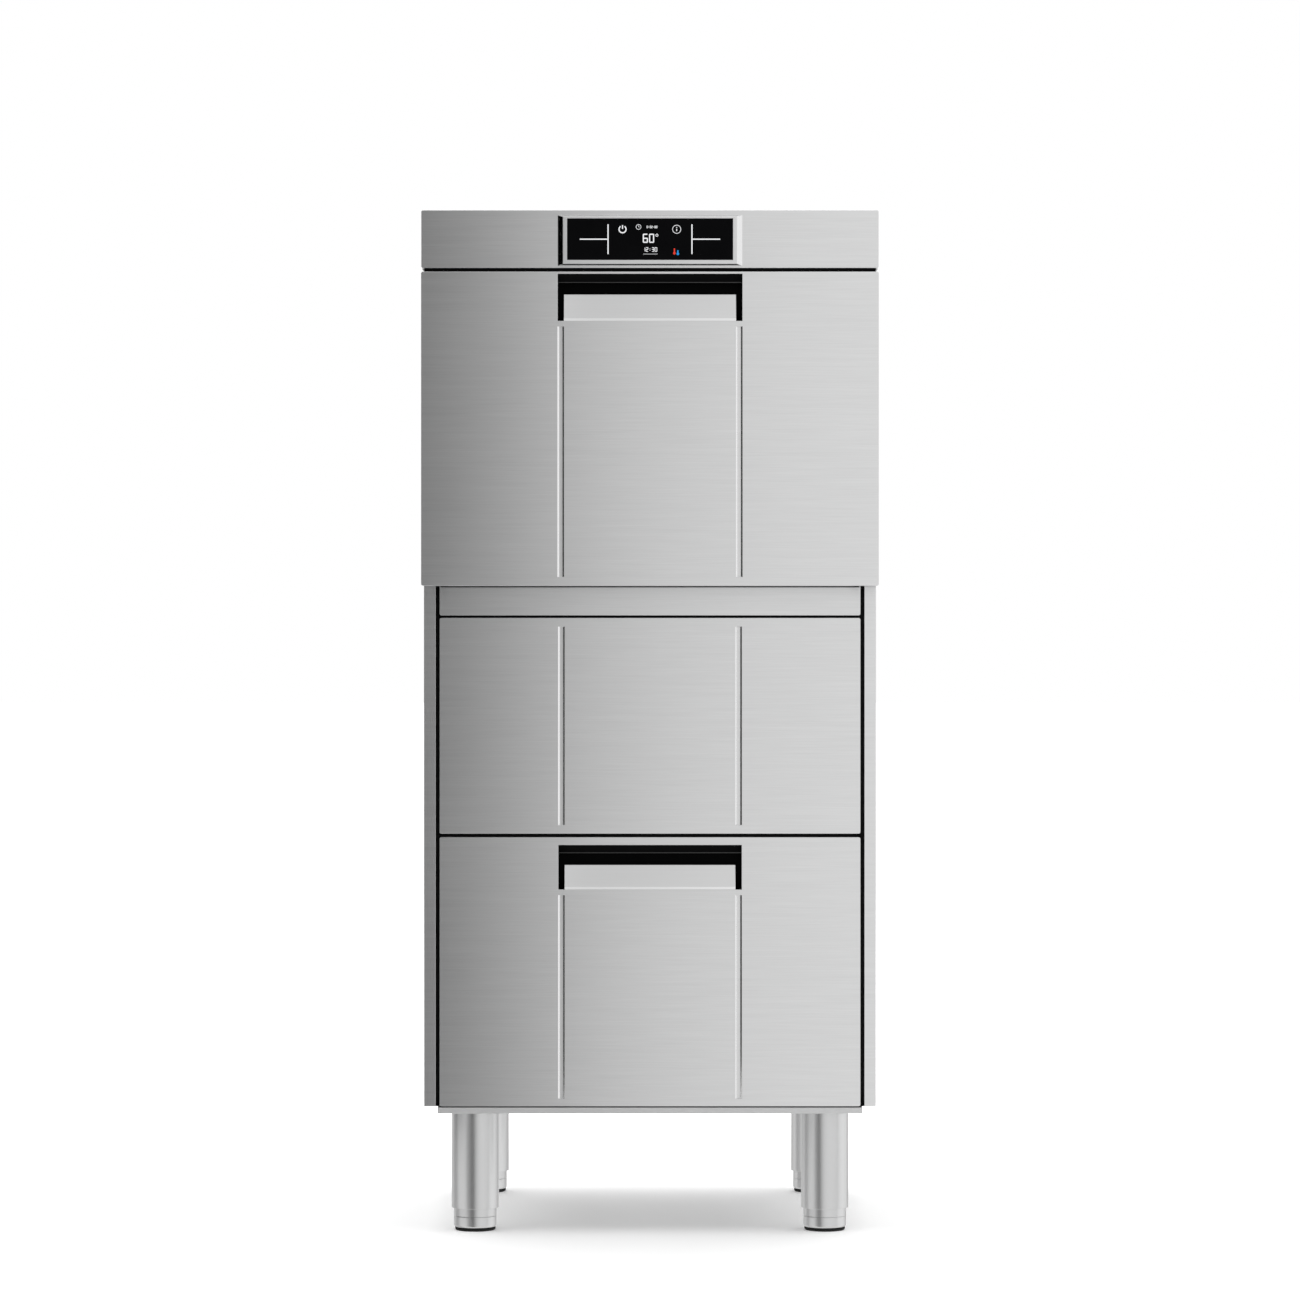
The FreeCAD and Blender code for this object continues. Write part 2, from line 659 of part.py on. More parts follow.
def folded_panel(label, half, bottom, top, face, depth):
    """A sheet panel with a folded edge all round and rounded corners, open behind."""
    body = new_body(label)
    rear = face + depth
    box(body, -half, half, face, rear, bottom, top)
    round_edges(body, dim.corner_radius, lambda edge: edge.YLength > depth.value / 2)
    wall = dim.sheet
    hollow(body, -half + wall, half - wall, face + wall, rear, bottom + wall, top - wall)
    return body


def handle_window(body, face, recess_top, height):
    """The opening of a handle recess in a panel's skin."""
    half = dim.handle_half_width
    hollow(body, -half, half, face, face + dim.sheet, recess_top - height, recess_top)


def handle_scoop(label, face, recess_top, height):
    """The moulded pocket behind a handle recess, with the brow that hangs over the fingers."""
    body = new_body(label)
    half = dim.handle_half_width
    wall = dim.scoop_wall
    mouth = face + dim.sheet
    rear = mouth + dim.scoop_depth
    foot = recess_top - height
    box(body, -half - wall, half + wall, mouth, rear, foot - wall, recess_top + wall)
    ridge = recess_top - dim.scoop_ridge_drop
    bay = [
        (mouth, foot),
        (mouth, recess_top),
        (mouth + dim.scoop_ridge_depth, ridge),
        (mouth + dim.scoop_ridge_depth * 2, ridge + dim.scoop_brow_rise),
        (rear - wall, ridge),
        (rear - wall, foot + dim.scoop_foot_slope),
        (rear - wall - dim.scoop_foot_slope, foot),
    ]
    cut(body, "YZ", -half, half, bay)
    return body


def grip_plate(label, face, recess_top, height):
    """The bright plate that the fingers pull: a straight foot, a leaning blade and a hidden lap."""
    body = new_body(label)
    gauge = dim.grip_gauge
    foot = recess_top - height
    bend = foot + dim.grip_lip
    top = recess_top - dim.handle_mouth
    lean = dim.grip_lean
    profile = [
        (face, foot),
        (face, bend),
        (face + lean, top),
        (face + lean + gauge, top),
        (face + gauge, bend),
        (face + gauge, foot),
    ]
    add(body, "YZ", -dim.grip_half_width, dim.grip_half_width, profile)
    return body


# Base tray, with a low lip in front and full walls at the sides and rear
base_tray = new_body("base_tray")
box(base_tray, -tray_half, tray_half, cabinet_front, tray_rear, tray_bottom, drawer_bottom)
hollow(
    base_tray,
    -tray_half + dim.plate,
    tray_half - dim.plate,
    cabinet_front + dim.plate,
    tray_rear - dim.plate,
    tray_floor,
    drawer_bottom,
)
hollow(base_tray, -tray_half, tray_half, cabinet_front, cabinet_front + dim.plate, lip_top, drawer_bottom)

# Leg tubes, closed at the top by the cap that is welded to the tray
leg_bore = dim.leg_radius - dim.leg_wall
tube_bottom = dim.pad_height + dim.foot_show
leg_tubes = new_body("leg_tubes")
leg_axis = (-leg_half, leg_front)
tube_pad = add(leg_tubes, "XY", tube_bottom, tray_bottom, Circle(*leg_axis, dim.leg_radius))
tube_bore = cut(leg_tubes, "XY", tube_bottom, tray_bottom - dim.leg_cap, Circle(*leg_axis, leg_bore))
grid(
    leg_tubes,
    [tube_pad, tube_bore],
    ("X", leg_half * 2, 2),
    ("Y", leg_rear - leg_front, 2),
)

# Levelling feet: a plunger that slides in each leg, on a rubber pad
sleeve_radius = leg_bore - dim.foot_clearance
sleeve_top = tube_bottom + dim.foot_grip
pad_radius = sleeve_radius - dim.pad_inset
corners = {
    "front_left": (-leg_half, leg_front),
    "front_right": (leg_half, leg_front),
    "rear_left": (-leg_half, leg_rear),
    "rear_right": (leg_half, leg_rear),
}
for corner, (leg_x, leg_y) in corners.items():
    sleeve = new_body(f"foot_sleeve_{corner}")
    add(sleeve, "XY", 0, sleeve_top - dim.pad_height, Circle(0, 0, sleeve_radius))
    place(sleeve, leg_x, leg_y, dim.pad_height)
    pad = new_body(f"foot_pad_{corner}")
    add(pad, "XY", 0, dim.pad_height, Circle(0, 0, pad_radius))
    place(pad, leg_x, leg_y, 0)

# Side panels: a wall folded in at the front, the rear and the foot
for side, sign in (("left", -1), ("right", 1)):
    panel = new_body(f"side_panel_{side}")
    wall = dim.sheet
    profile = [
        (flange_in * sign, cabinet_front),
        (side_out * sign, cabinet_front),
        (side_out * sign, rear_in),
        ((side_out - dim.rear_flange) * sign, rear_in),
        ((side_out - dim.rear_flange) * sign, rear_in - wall),
        (side_in * sign, rear_in - wall),
        (side_in * sign, cabinet_front + wall),
        (flange_in * sign, cabinet_front + wall),
    ]
    add(panel, "XY", drawer_bottom, side_top, profile)
    foot = sorted((side_in * sign, (side_out - dim.foot_flange) * sign), key=lambda at: at.value)
    box(panel, *foot, post_back + wall, rear_in - dim.post - wall * 3, drawer_bottom, drawer_bottom + wall)

# Rear panel, with the window of the connection recess and two columns of ventilation slots
recess_left = gland_x - dim.recess_margin
recess_right = inlet_x + dim.recess_margin
recess_low = dim.port_level - dim.recess_half_height
recess_high = dim.port_level + dim.recess_half_height
rear_panel = new_body("rear_panel")
box(rear_panel, -side_out, side_out, rear_in, rear_out, drawer_bottom, side_top)
hollow(rear_panel, recess_left, recess_right, rear_in, rear_out, recess_low, recess_high)
slot = hollow(
    rear_panel,
    -louvre_x - dim.louvre_width / 2,
    -louvre_x + dim.louvre_width / 2,
    rear_in,
    rear_out,
    dim.louvre_level,
    dim.louvre_level + dim.louvre_height,
)
grid(
    rear_panel,
    [slot],
    ("Z", dim.louvre_pitch, dim.louvre_count),
    ("X", louvre_x * 2, 2),
)

# Hexagon screws along both edges of the rear panel
rear_screws = new_body("rear_screws")
screw_low = drawer_bottom + dim.screw_inset * 2
screw_high = hood_bottom - dim.screw_inset * 2
screw_column = side_out - dim.screw_inset
hexagon = regular(-screw_column, screw_low, dim.screw_radius, NUT_SIDES)
screw = add(rear_screws, "XZ", rear_out, back, hexagon)
grid(
    rear_screws,
    [screw],
    ("X", screw_column * 2, 2),
    ("Z", (screw_high - screw_low) / (dim.screw_count - 1), dim.screw_count),
)

# Recess for the connections: a pan behind the rear panel's window
recess_pan = new_body("connection_recess")
wall = dim.sheet
box(
    recess_pan,
    recess_left - wall,
    recess_right + wall,
    recess_floor - wall,
    rear_in,
    recess_low - wall,
    recess_high + wall,
)
hollow(recess_pan, recess_left, recess_right, recess_floor, rear_in, recess_low, recess_high)
gland_hole = Circle(gland_x, dim.port_level, dim.gland_bore)
cut(recess_pan, "XZ", recess_floor - wall, recess_floor, gland_hole)

# Frame: four posts on the tray's side walls and the two rails between the front ones
frame = new_body("frame")


def frame_tube(plane, low, high, x0, x1, y0, y1):
    """A rectangular tube of the frame."""
    wall = dim.post_wall
    section = [rectangle(x0, x1, y0, y1), rectangle(x0 + wall, x1 - wall, y0 + wall, y1 - wall)]
    return add(frame, plane, low, high, *section)


post_rear = rear_in - dim.sheet
front_post = frame_tube("XY", drawer_bottom, frame_top, bay_out, side_in, post_front, post_back)
rear_post = frame_tube(
    "XY", drawer_bottom, frame_top, bay_out, side_in, post_rear - dim.post, post_rear
)
mirror(frame, "YZ", front_post, rear_post)
for rail_low, rail_high in (
    (drawer_top - dim.rail_overlap, service_bottom + dim.rail_overlap),
    (service_top - dim.rail_overlap, sill_bottom + dim.rail_overlap),
):
    frame_tube("YZ", -bay_out, bay_out, post_front, post_back, rail_low, rail_high)

# Service panel and sill strip, the two fixed fronts
service_panel = folded_panel(
    "service_panel", panel_half, service_bottom, service_top, cabinet_front, dim.panel_depth
)
groove(
    service_panel,
    cabinet_front,
    service_bottom + dim.service_groove_inset,
    service_top - dim.service_groove_inset,
)
sill_strip = folded_panel("sill_strip", panel_half, sill_bottom, sill_top, cabinet_front, dim.panel_depth)

# Door frame round the chamber's opening, stepped at its foot beside the hinge brackets
hinge_in = hinge_middle - dim.hinge_gauge / 2
hinge_out = hinge_middle + dim.hinge_gauge / 2
frame_foot = sill_top + dim.fit
frame_step = hinge_z + dim.hinge_nose + dim.notch_play
notch_half = hinge_in - dim.notch_play
door_frame = new_body("door_frame")
ring = [
    (-notch_half, frame_foot),
    (notch_half, frame_foot),
    (notch_half, frame_step),
    (frame_half, frame_step),
    (frame_half, frame_top),
    (-frame_half, frame_top),
    (-frame_half, frame_step),
    (-notch_half, frame_step),
]
mouth = rectangle(-chamber_half, chamber_half, sill_level, opening_top)
add(door_frame, "XZ", cabinet_front, post_front, ring, mouth)

# Seals: a section on both sides and across the top of the opening, and a dark strip behind the
# gap between door and hood
seals = new_body("cabinet_seals")
seal_in = chamber_half + dim.seal_inset
seal_out = seal_in + dim.seal_width
seal_low = sill_level + dim.notch_play
seal_under = opening_top + dim.seal_inset
seal_over = seal_under + dim.seal_width
seal_face = door_back + dim.fit
arch = [
    (-seal_out, seal_low),
    (-seal_in, seal_low),
    (-seal_in, seal_under),
    (seal_in, seal_under),
    (seal_in, seal_low),
    (seal_out, seal_low),
    (seal_out, seal_over),
    (-seal_out, seal_over),
]
add(seals, "XZ", seal_face, cabinet_front, arch)
strip_low = seal_over + dim.fit
box(seals, -side_in, side_in, seal_face, cabinet_front, strip_low, frame_top)

# Wash chamber: a tank with a ceiling, a throat towards the door and a round sump
wash_chamber = new_body("wash_chamber")
wall = dim.sheet
shell = [
    (chamber_front, tank_under),
    (chamber_rear + wall, tank_under),
    (chamber_rear + wall, ceiling + wall),
    (chamber_front, ceiling + wall),
    (chamber_front, opening_top + wall),
    (post_front, opening_top + wall),
    (post_front, sill_level - wall),
    (chamber_front, sill_level - wall),
]
space = [
    (chamber_front + wall, dim.tank_floor),
    (chamber_rear, dim.tank_floor),
    (chamber_rear, ceiling),
    (chamber_front + wall, ceiling),
    (chamber_front + wall, opening_top),
    (post_front, opening_top),
    (post_front, sill_level),
    (chamber_front + wall, sill_level),
]
sump_axis = (sump_x, 0)
sump_floor = dim.tank_floor - dim.sump_depth
sump_under = sump_floor - wall
riser_level = ceiling - dim.riser_play - dim.riser_radius
add(wash_chamber, "YZ", -chamber_half - wall, chamber_half + wall, shell)
add(wash_chamber, "XY", sump_under, tank_under, Circle(*sump_axis, dim.sump_radius + wall))
cut(wash_chamber, "YZ", -chamber_half, chamber_half, space)
cut(wash_chamber, "XY", sump_floor, dim.tank_floor, Circle(*sump_axis, dim.sump_radius))
cut(
    wash_chamber,
    "XZ",
    chamber_rear,
    chamber_rear + wall,
    Circle(0, riser_level, dim.riser_radius + dim.fit),
)

# Rails along both chamber walls, for the dish rack and below them for the surface filter
chamber_rails = new_body("chamber_rails")
rail_in = chamber_half - dim.rail_width
rack_half = chamber_half - dim.rack_play
rack_front = cabinet_front + dim.rack_play
rack_rear = chamber_rear - dim.rack_play
rail_profile = [
    (rail_in, dim.rack_level - dim.rail_gauge),
    (chamber_half, dim.rack_level - dim.rail_gauge),
    (chamber_half, dim.rack_level + dim.rail_rise),
    (chamber_half - dim.rail_gauge, dim.rack_level + dim.rail_rise),
    (chamber_half - dim.rail_gauge, dim.rack_level),
    (rail_in, dim.rack_level),
]
rack_rail = add(chamber_rails, "XZ", rack_front, rack_rear, rail_profile)
filter_front = chamber_front + wall + dim.filter_play
filter_rear = chamber_rear - dim.filter_play
ledge_in = chamber_half - dim.ledge_width
ledge_low = dim.filter_level - wall
ledge = box(
    chamber_rails, ledge_in, chamber_half, filter_front, filter_rear, ledge_low, dim.filter_level
)
mirror(chamber_rails, "YZ", rack_rail, ledge)

# Dish rack: a moulded basket with open walls, a grid floor and rows of pegs
rack = new_body("dish_rack")
rack_rim = dim.rack_level + dim.rack_height
grid_top = dim.rack_level + dim.rack_floor
rack_inner = rack_half - dim.rack_wall
rack_solid = dim.rack_frame * 2 - dim.rack_bar
pitch_x = (rack_half * 2 - rack_solid) / dim.rack_cells
pitch_y = (rack_rear - rack_front - rack_solid) / dim.rack_cells
first_x = -rack_half + dim.rack_frame
first_y = rack_front + dim.rack_frame
last_x = first_x + pitch_x - dim.rack_bar
last_y = first_y + pitch_y - dim.rack_bar
box(rack, -rack_half, rack_half, rack_front, rack_rear, dim.rack_level, rack_rim)
hollow(
    rack,
    -rack_inner,
    rack_inner,
    rack_front + dim.rack_wall,
    rack_rear - dim.rack_wall,
    grid_top,
    rack_rim,
)
wall_low = dim.rack_level + dim.rack_frame
wall_high = rack_rim - dim.rack_frame / 2
floor_cell = hollow(rack, first_x, last_x, first_y, last_y, dim.rack_level, grid_top)
grid(rack, [floor_cell], ("X", pitch_x, dim.rack_cells), ("Y", pitch_y, dim.rack_cells))
front_cell = hollow(rack, first_x, last_x, rack_front, rack_rear, wall_low, wall_high)
row(rack, [front_cell], "X", pitch_x, dim.rack_cells)
side_cell = hollow(rack, -rack_half, rack_half, first_y, last_y, wall_low, wall_high)
row(rack, [side_cell], "Y", pitch_y, dim.rack_cells)
peg_x = first_x + pitch_x - dim.rack_bar / 2
peg_y = first_y + pitch_y - dim.rack_bar / 2


def square_loop(x, y, half):
    """A square loop round a point."""
    return rectangle(length(x) - half, length(x) + half, length(y) - half, length(y) + half)


peg = taper(
    rack,
    dim.rack_level,
    square_loop(peg_x, peg_y, dim.peg_foot),
    grid_top + dim.peg_height,
    square_loop(peg_x, peg_y, dim.peg_tip),
)
grid(rack, [peg], ("X", pitch_x, dim.rack_cells - 1), ("Y", pitch_y, dim.rack_cells - 1))


arm_reach = -(chamber_front + wall) - dim.arm_gap


def spray_arm(label, half_tip, half_root, thick, hub, hub_low, hub_high, arm_low):
    """A two-ended spray arm about its own axis, with a bored hub."""
    body = new_body(label)
    reach = arm_reach
    blade = [
        (-reach, -half_tip / 2),
        (-reach + half_tip / 2, -half_tip),
        (0, -half_root),
        (reach - half_tip / 2, -half_tip),
        (reach, -half_tip / 2),
        (reach, half_tip / 2),
        (reach - half_tip / 2, half_tip),
        (0, half_root),
        (-reach + half_tip / 2, half_tip),
        (-reach, half_tip / 2),
    ]
    add(body, "XY", arm_low, arm_low + thick, blade)
    add(body, "XY", hub_low, hub_high, Circle(0, 0, hub))
    bore = dim.spindle_radius + dim.spindle_clearance
    cut(body, "XY", hub_low, hub_high, Circle(0, 0, bore))
    return body


def spray_arms(place_name, base, facing):
    """The wash arm and the rinse arm on one spindle. facing is 1 where they spray up, -1 down."""
    wash_hub = dim.wash_arm_height + dim.hub_rise
    rinse_start = wash_hub + dim.arm_play

    def span(start, thick):
        ends = (base + start * facing, base + (start + thick) * facing)
        return ends if facing > 0 else ends[::-1]

    wash = spray_arm(
        f"{place_name}_wash_arm",
        dim.wash_arm_tip / 2,
        dim.wash_arm_width / 2,
        dim.wash_arm_height,
        dim.hub_radius,
        *span(length(0), wash_hub),
        span(length(0), dim.wash_arm_height)[0],
    )
    jet_end = arm_reach - dim.wash_arm_tip / 2
    for first_jet in (-jet_end, jet_end - dim.jet_pitch * (dim.jet_count - 1)):
        jet = add(
            wash,
            "XY",
            *span(dim.wash_arm_height, dim.jet_height),
            square_loop(first_jet, 0, dim.jet_half),
        )
        row(wash, [jet], "X", dim.jet_pitch, dim.jet_count)
    spray_arm(
        f"{place_name}_rinse_arm",
        dim.rinse_arm_tip / 2,
        dim.rinse_arm_width / 2,
        dim.rinse_arm_height,
        dim.rinse_hub_radius,
        *span(rinse_start, dim.rinse_arm_height),
        span(rinse_start, dim.rinse_arm_height)[0],
    )
    return rinse_start + dim.rinse_arm_height


# Lower manifold: the spindle of the lower arms, on the tank floor over the delivery pipe
arms_height = spray_arms("lower", dim.lower_arm_level, 1)
nut_low = dim.lower_arm_level + arms_height + dim.arm_play
spindle_nut = regular(0, 0, dim.nut_radius, NUT_SIDES)
lower_manifold = new_body("lower_manifold")
shoulder = dim.lower_arm_level - dim.arm_play
turn(
    lower_manifold,
    [
        (0, dim.tank_floor),
        (dim.manifold_radius, dim.tank_floor),
        (dim.spindle_radius + dim.manifold_rim, shoulder),
        (dim.spindle_radius, shoulder),
        (dim.spindle_radius, nut_low),
        (0, nut_low),
    ],
)
add(lower_manifold, "XY", nut_low, nut_low + dim.nut_height, spindle_nut)

# Riser: the delivery pipe from the pump, its branch up the rear and the spindle of the upper arms
manifold_under = riser_level - dim.riser_radius - dim.manifold_rim
upper_base = manifold_under - dim.arm_play
spray_arms("upper", upper_base, -1)
upper_nut = upper_base - arms_height - dim.arm_play
branch_level = tank_under - dim.riser_drop
riser_y = chamber_rear + wall + dim.riser_play + dim.riser_radius
volute_top = dim.pump_level + dim.volute_radius
wash_riser = new_body("wash_riser")
rod(
    wash_riser,
    "YZ",
    0,
    [(0, branch_level), (riser_y, branch_level), (riser_y, riser_level), (0, riser_level)],
    dim.riser_bend,
    dim.riser_radius,
)
add(wash_riser, "XY", volute_top, tank_under, regular(0, 0, dim.feed_radius, PIPE_SIDES))
riser_cap = riser_level + dim.riser_radius + dim.fit
turn(
    wash_riser,
    [
        (0, upper_nut),
        (dim.spindle_radius, upper_nut),
        (dim.spindle_radius, manifold_under),
        (dim.manifold_radius, manifold_under),
        (dim.manifold_radius, riser_cap),
        (0, riser_cap),
    ],
)
add(wash_riser, "XY", upper_nut - dim.nut_height, upper_nut, spindle_nut)

# Surface filter over the tank, with a basket strainer and an overflow standpipe
filter_half = chamber_half - dim.filter_play
filter_top = dim.filter_level + wall
surface_filter = new_body("surface_filter")
rim_top = dim.filter_level + dim.filter_rim
box(surface_filter, -filter_half, filter_half, filter_front, filter_rear, dim.filter_level, rim_top)
hollow(
    surface_filter,
    -filter_half + wall,
    filter_half - wall,
    filter_front + wall,
    filter_rear - wall,
    filter_top,
    rim_top,
)
for hole_x, hole_radius in (
    (sump_x, dim.strainer_radius + dim.fit),
    (0, dim.manifold_radius + dim.fit),
):
    cut(surface_filter, "XY", dim.filter_level, filter_top, Circle(hole_x, 0, hole_radius))

strainer = new_body("strainer_basket")
basket_low = filter_top - dim.strainer_depth
strainer_wall = regular(0, 0, dim.strainer_radius, ROUND_SIDES)
strainer_flange = regular(0, 0, dim.strainer_radius + dim.strainer_rim, ROUND_SIDES)
strainer_space = regular(0, 0, dim.strainer_radius - wall, ROUND_SIDES)
add(strainer, "XY", basket_low, filter_top, strainer_wall)
add(strainer, "XY", filter_top, filter_top + wall, strainer_flange)
cut(strainer, "XY", basket_low + wall, filter_top + wall, strainer_space)
place(strainer, sump_x, 0, 0)

standpipe = new_body("overflow_standpipe")
pipe_top = dim.tank_floor + dim.overflow_height
add(standpipe, "XY", dim.tank_floor, pipe_top, regular(0, 0, dim.overflow_radius, ROUND_SIDES))
place(standpipe, chamber_half - dim.overflow_side, 0, 0)

# Tank heater: a rod in a loop round the standpipe, out of the rear wall
heater_far = chamber_half - dim.heater_side
heater_front = dim.heater_near - heater_far
heater = new_body("tank_heater")
rod(
    heater,
    "XY",
    dim.heater_level,
    [
        (dim.heater_near, chamber_rear),
        (dim.heater_near, heater_front),
        (heater_far, heater_front),
        (heater_far, chamber_rear),
    ],
    dim.heater_bend,
    dim.heater_radius,
)

# Wash pump: a round casing and its motor on a foot, made about the pump's own axis
wash_pump = new_body("wash_pump")
volute_half = dim.volute_width / 2
volute_shoulder = dim.volute_step - volute_half
add(wash_pump, "XY", volute_shoulder, volute_half, regular(0, 0, dim.volute_radius, ROUND_SIDES))
add(wash_pump, "XY", -volute_half, volute_shoulder, regular(0, 0, dim.volute_eye, ROUND_SIDES))
motor_end = volute_half + dim.motor_length
add(wash_pump, "XY", volute_half, motor_end, regular(0, 0, dim.motor_radius, ROUND_SIDES))
box(
    wash_pump,
    0,
    dim.pump_level - deck_top,
    -dim.motor_foot_half,
    dim.motor_foot_half,
    motor_end - dim.motor_foot,
    motor_end,
)
place(wash_pump, 0, 0, dim.pump_level, "X")

# Hoses: suction from the sump to the wash pump, the sump's drain, and the drain to its spigot
hoses = new_body("hoses")
rod(
    hoses,
    "XZ",
    0,
    [(sump_x, sump_under), (sump_x, dim.pump_level), (-volute_half, dim.pump_level)],
    dim.suction_bend,
    dim.suction_radius,
)
casing_top = dim.drain_pump_height
pump_inlet = deck_top + casing_top + dim.drain_motor_height
drain_y = -dim.drain_pump_front
drain_hose = regular(drain_x, drain_y, dim.drain_hose_radius, PIPE_SIDES)
add(hoses, "XY", pump_inlet, sump_under, drain_hose)
add(
    hoses,
    "XZ",
    drain_y + dim.drain_pump_radius,
    recess_floor - wall,
    regular(drain_x, dim.port_level, dim.drain_hose_radius, PIPE_SIDES),
)

# Rinse boiler with stepped ends, made about its own axis, on two cradles
boiler = new_body("rinse_boiler")
boiler_level = deck_top + dim.cradle_height + dim.boiler_radius
boiler_round = regular(0, 0, dim.boiler_radius, ROUND_SIDES)
boiler_cap = regular(0, 0, dim.boiler_cap, ROUND_SIDES)
add(boiler, "XY", dim.boiler_end, dim.boiler_length - dim.boiler_end, boiler_round)
add(boiler, "XY", 0, dim.boiler_length, boiler_cap)
cradle_start = dim.boiler_end * 3
cradle = box(
    boiler,
    0,
    dim.boiler_radius + dim.cradle_height,
    -dim.cradle_half_depth,
    dim.cradle_half_depth,
    cradle_start,
    cradle_start + dim.cradle_width,
)
cradle_pitch = dim.boiler_length - dim.boiler_end * 6 - dim.cradle_width
row(boiler, [cradle], "Z", cradle_pitch, 2)
boiler_left = half_width - dim.boiler_side - dim.boiler_length
place(boiler, boiler_left, back - dim.boiler_back, boiler_level, "X")

# Drain pump: its casing with the motor on top
drain_pump = new_body("drain_pump")
add(drain_pump, "XY", 0, casing_top, regular(0, 0, dim.drain_pump_radius, ROUND_SIDES))
add(
    drain_pump,
    "XY",
    casing_top,
    casing_top + dim.drain_motor_height,
    regular(0, 0, dim.drain_motor_radius, ROUND_SIDES),
)
place(drain_pump, drain_x, drain_y, deck_top)

# Dosing pumps on the rear panel
dosers = new_body("dosing_pumps")
doser_front = rear_in - dim.doser_depth
doser_half = dim.doser_width / 2
doser_x = half_width - dim.doser_side - dim.doser_pitch / 2
doser_case = box(
    dosers,
    doser_x - doser_half,
    doser_x + doser_half,
    doser_front,
    rear_in,
    dim.doser_level - doser_half,
    dim.doser_level + doser_half,
)
row(dosers, [doser_case], "X", dim.doser_pitch, 2)


def port(body, x, radius, bore, reach):
    """A round connection that stands out of the recess floor on a flange."""
    middle = (x, dim.port_level)
    hole = Circle(*middle, bore)
    flange = radius + dim.port_flange * 2
    stand = recess_floor + dim.port_flange
    add(body, "XZ", recess_floor, stand, regular(*middle, flange, NUT_SIDES), hole)
    add(body, "XZ", stand, stand + reach, Circle(*middle, radius), hole)


# Connections in the recess: water inlet and drain spigot, cable gland, and the inlet's valve
connections = new_body("hose_connections")
port(connections, inlet_x, dim.inlet_radius, dim.inlet_bore, dim.inlet_length)
port(connections, drain_x, dim.drain_radius, dim.drain_bore, dim.drain_length)
gland = new_body("cable_gland")
port(gland, gland_x, dim.gland_radius, dim.gland_bore, dim.gland_length)
inlet_valve = new_body("inlet_valve")
valve_half = dim.inlet_body / 2
valve_rear = recess_floor - wall
box(
    inlet_valve,
    inlet_x - valve_half,
    inlet_x + valve_half,
    valve_rear - dim.inlet_body,
    valve_rear,
    dim.port_level - valve_half,
    dim.port_level + dim.inlet_radius,
)
coil_top = dim.port_level + dim.inlet_body
coil = Circle(inlet_x, valve_rear - valve_half, dim.inlet_coil)
add(inlet_valve, "XY", dim.port_level, coil_top, coil)

# Drawer bay: a deck over the drawer with two hanging sides, standing in the tray
bay_rear = recess_floor - dim.sheet
bay = new_body("bay_liner")
bay_profile = [
    (-bay_out, tray_floor),
    (-bay_half, tray_floor),
    (-bay_half, deck_under),
    (bay_half, deck_under),
    (bay_half, tray_floor),
    (bay_out, tray_floor),
    (bay_out, deck_top),
    (-bay_out, deck_top),
]
add(bay, "XZ", post_back, bay_rear, bay_profile)

# Telescopic slides: three nested sections on each side of the drawer
drawer_half = bay_half - dim.slide_space
front_back = post_front - dim.fit
slide_front = front_back + dim.slide_setback
slide_rear = slide_front + dim.slide_length
gauge = dim.slide_gauge
level = dim.slide_level
inner_height = dim.slide_half_height
middle_height = inner_height + dim.slide_clearance + gauge
outer_height = middle_height + dim.slide_clearance + gauge
inner_reach = drawer_half + dim.slide_flange
middle_web = inner_reach + dim.slide_clearance * 2


def channel(label, web, flange, height):
    """A pair of channel sections. The web stands at the first X and the flanges reach to the second."""
    body = new_body(label)
    back_face = web + gauge if web.value < flange.value else web - gauge
    profile = [
        (web, level - height),
        (flange, level - height),
        (flange, level - height + gauge),
        (back_face, level - height + gauge),
        (back_face, level + height - gauge),
        (flange, level + height - gauge),
        (flange, level + height),
        (web, level + height),
    ]
    mirror(body, "YZ", add(body, "XZ", slide_front, slide_rear, profile))
    return body


channel("slides_inner", drawer_half, inner_reach, inner_height)
channel("slides_middle", middle_web + gauge, drawer_half + gauge, middle_height)
channel("slides_fixed", bay_half, drawer_half + gauge * 2, outer_height)

# Drawer: front panel with grooves, inner front, scoop, grip plate and box
drawer_depth = dim.panel_depth - dim.fit
drawer_handle_top = drawer_top - dim.drawer_handle_drop
drawer_front = folded_panel(
    "drawer_front",
    panel_half,
    drawer_bottom,
    drawer_top,
    cabinet_front,
    drawer_depth,
)
handle_window(drawer_front, cabinet_front, drawer_handle_top, dim.drawer_handle_height)
groove(
    drawer_front,
    cabinet_front,
    drawer_bottom + dim.drawer_groove_foot,
    drawer_top - dim.drawer_groove_top,
)
handle_scoop("drawer_scoop", cabinet_front, drawer_handle_top, dim.drawer_handle_height)
grip_plate("drawer_grip", cabinet_front, drawer_handle_top, dim.drawer_handle_height)

drawer_box = new_body("drawer_box")
inset = dim.sheet + dim.fit
box_rear = front_back + dim.drawer_depth
box_top = dim.drawer_floor + dim.drawer_side
wall = dim.sheet
box(
    drawer_box,
    -panel_half + inset,
    panel_half - inset,
    front_back - wall,
    front_back,
    drawer_bottom + inset,
    drawer_top - inset,
)
box(drawer_box, -drawer_half, drawer_half, front_back, box_rear, dim.drawer_floor, box_top)
scoop_half = dim.handle_half_width + dim.scoop_wall + dim.fit
hollow(
    drawer_box,
    -scoop_half,
    scoop_half,
    front_back - wall,
    front_back,
    drawer_handle_top - dim.drawer_handle_height - dim.scoop_wall - dim.fit,
    drawer_handle_top + dim.scoop_wall + dim.fit,
)
hollow(
    drawer_box,
    -drawer_half + wall,
    drawer_half - wall,
    front_back,
    box_rear - wall,
    dim.drawer_floor + wall,
    box_top - wall,
)
rim = dim.drawer_rim
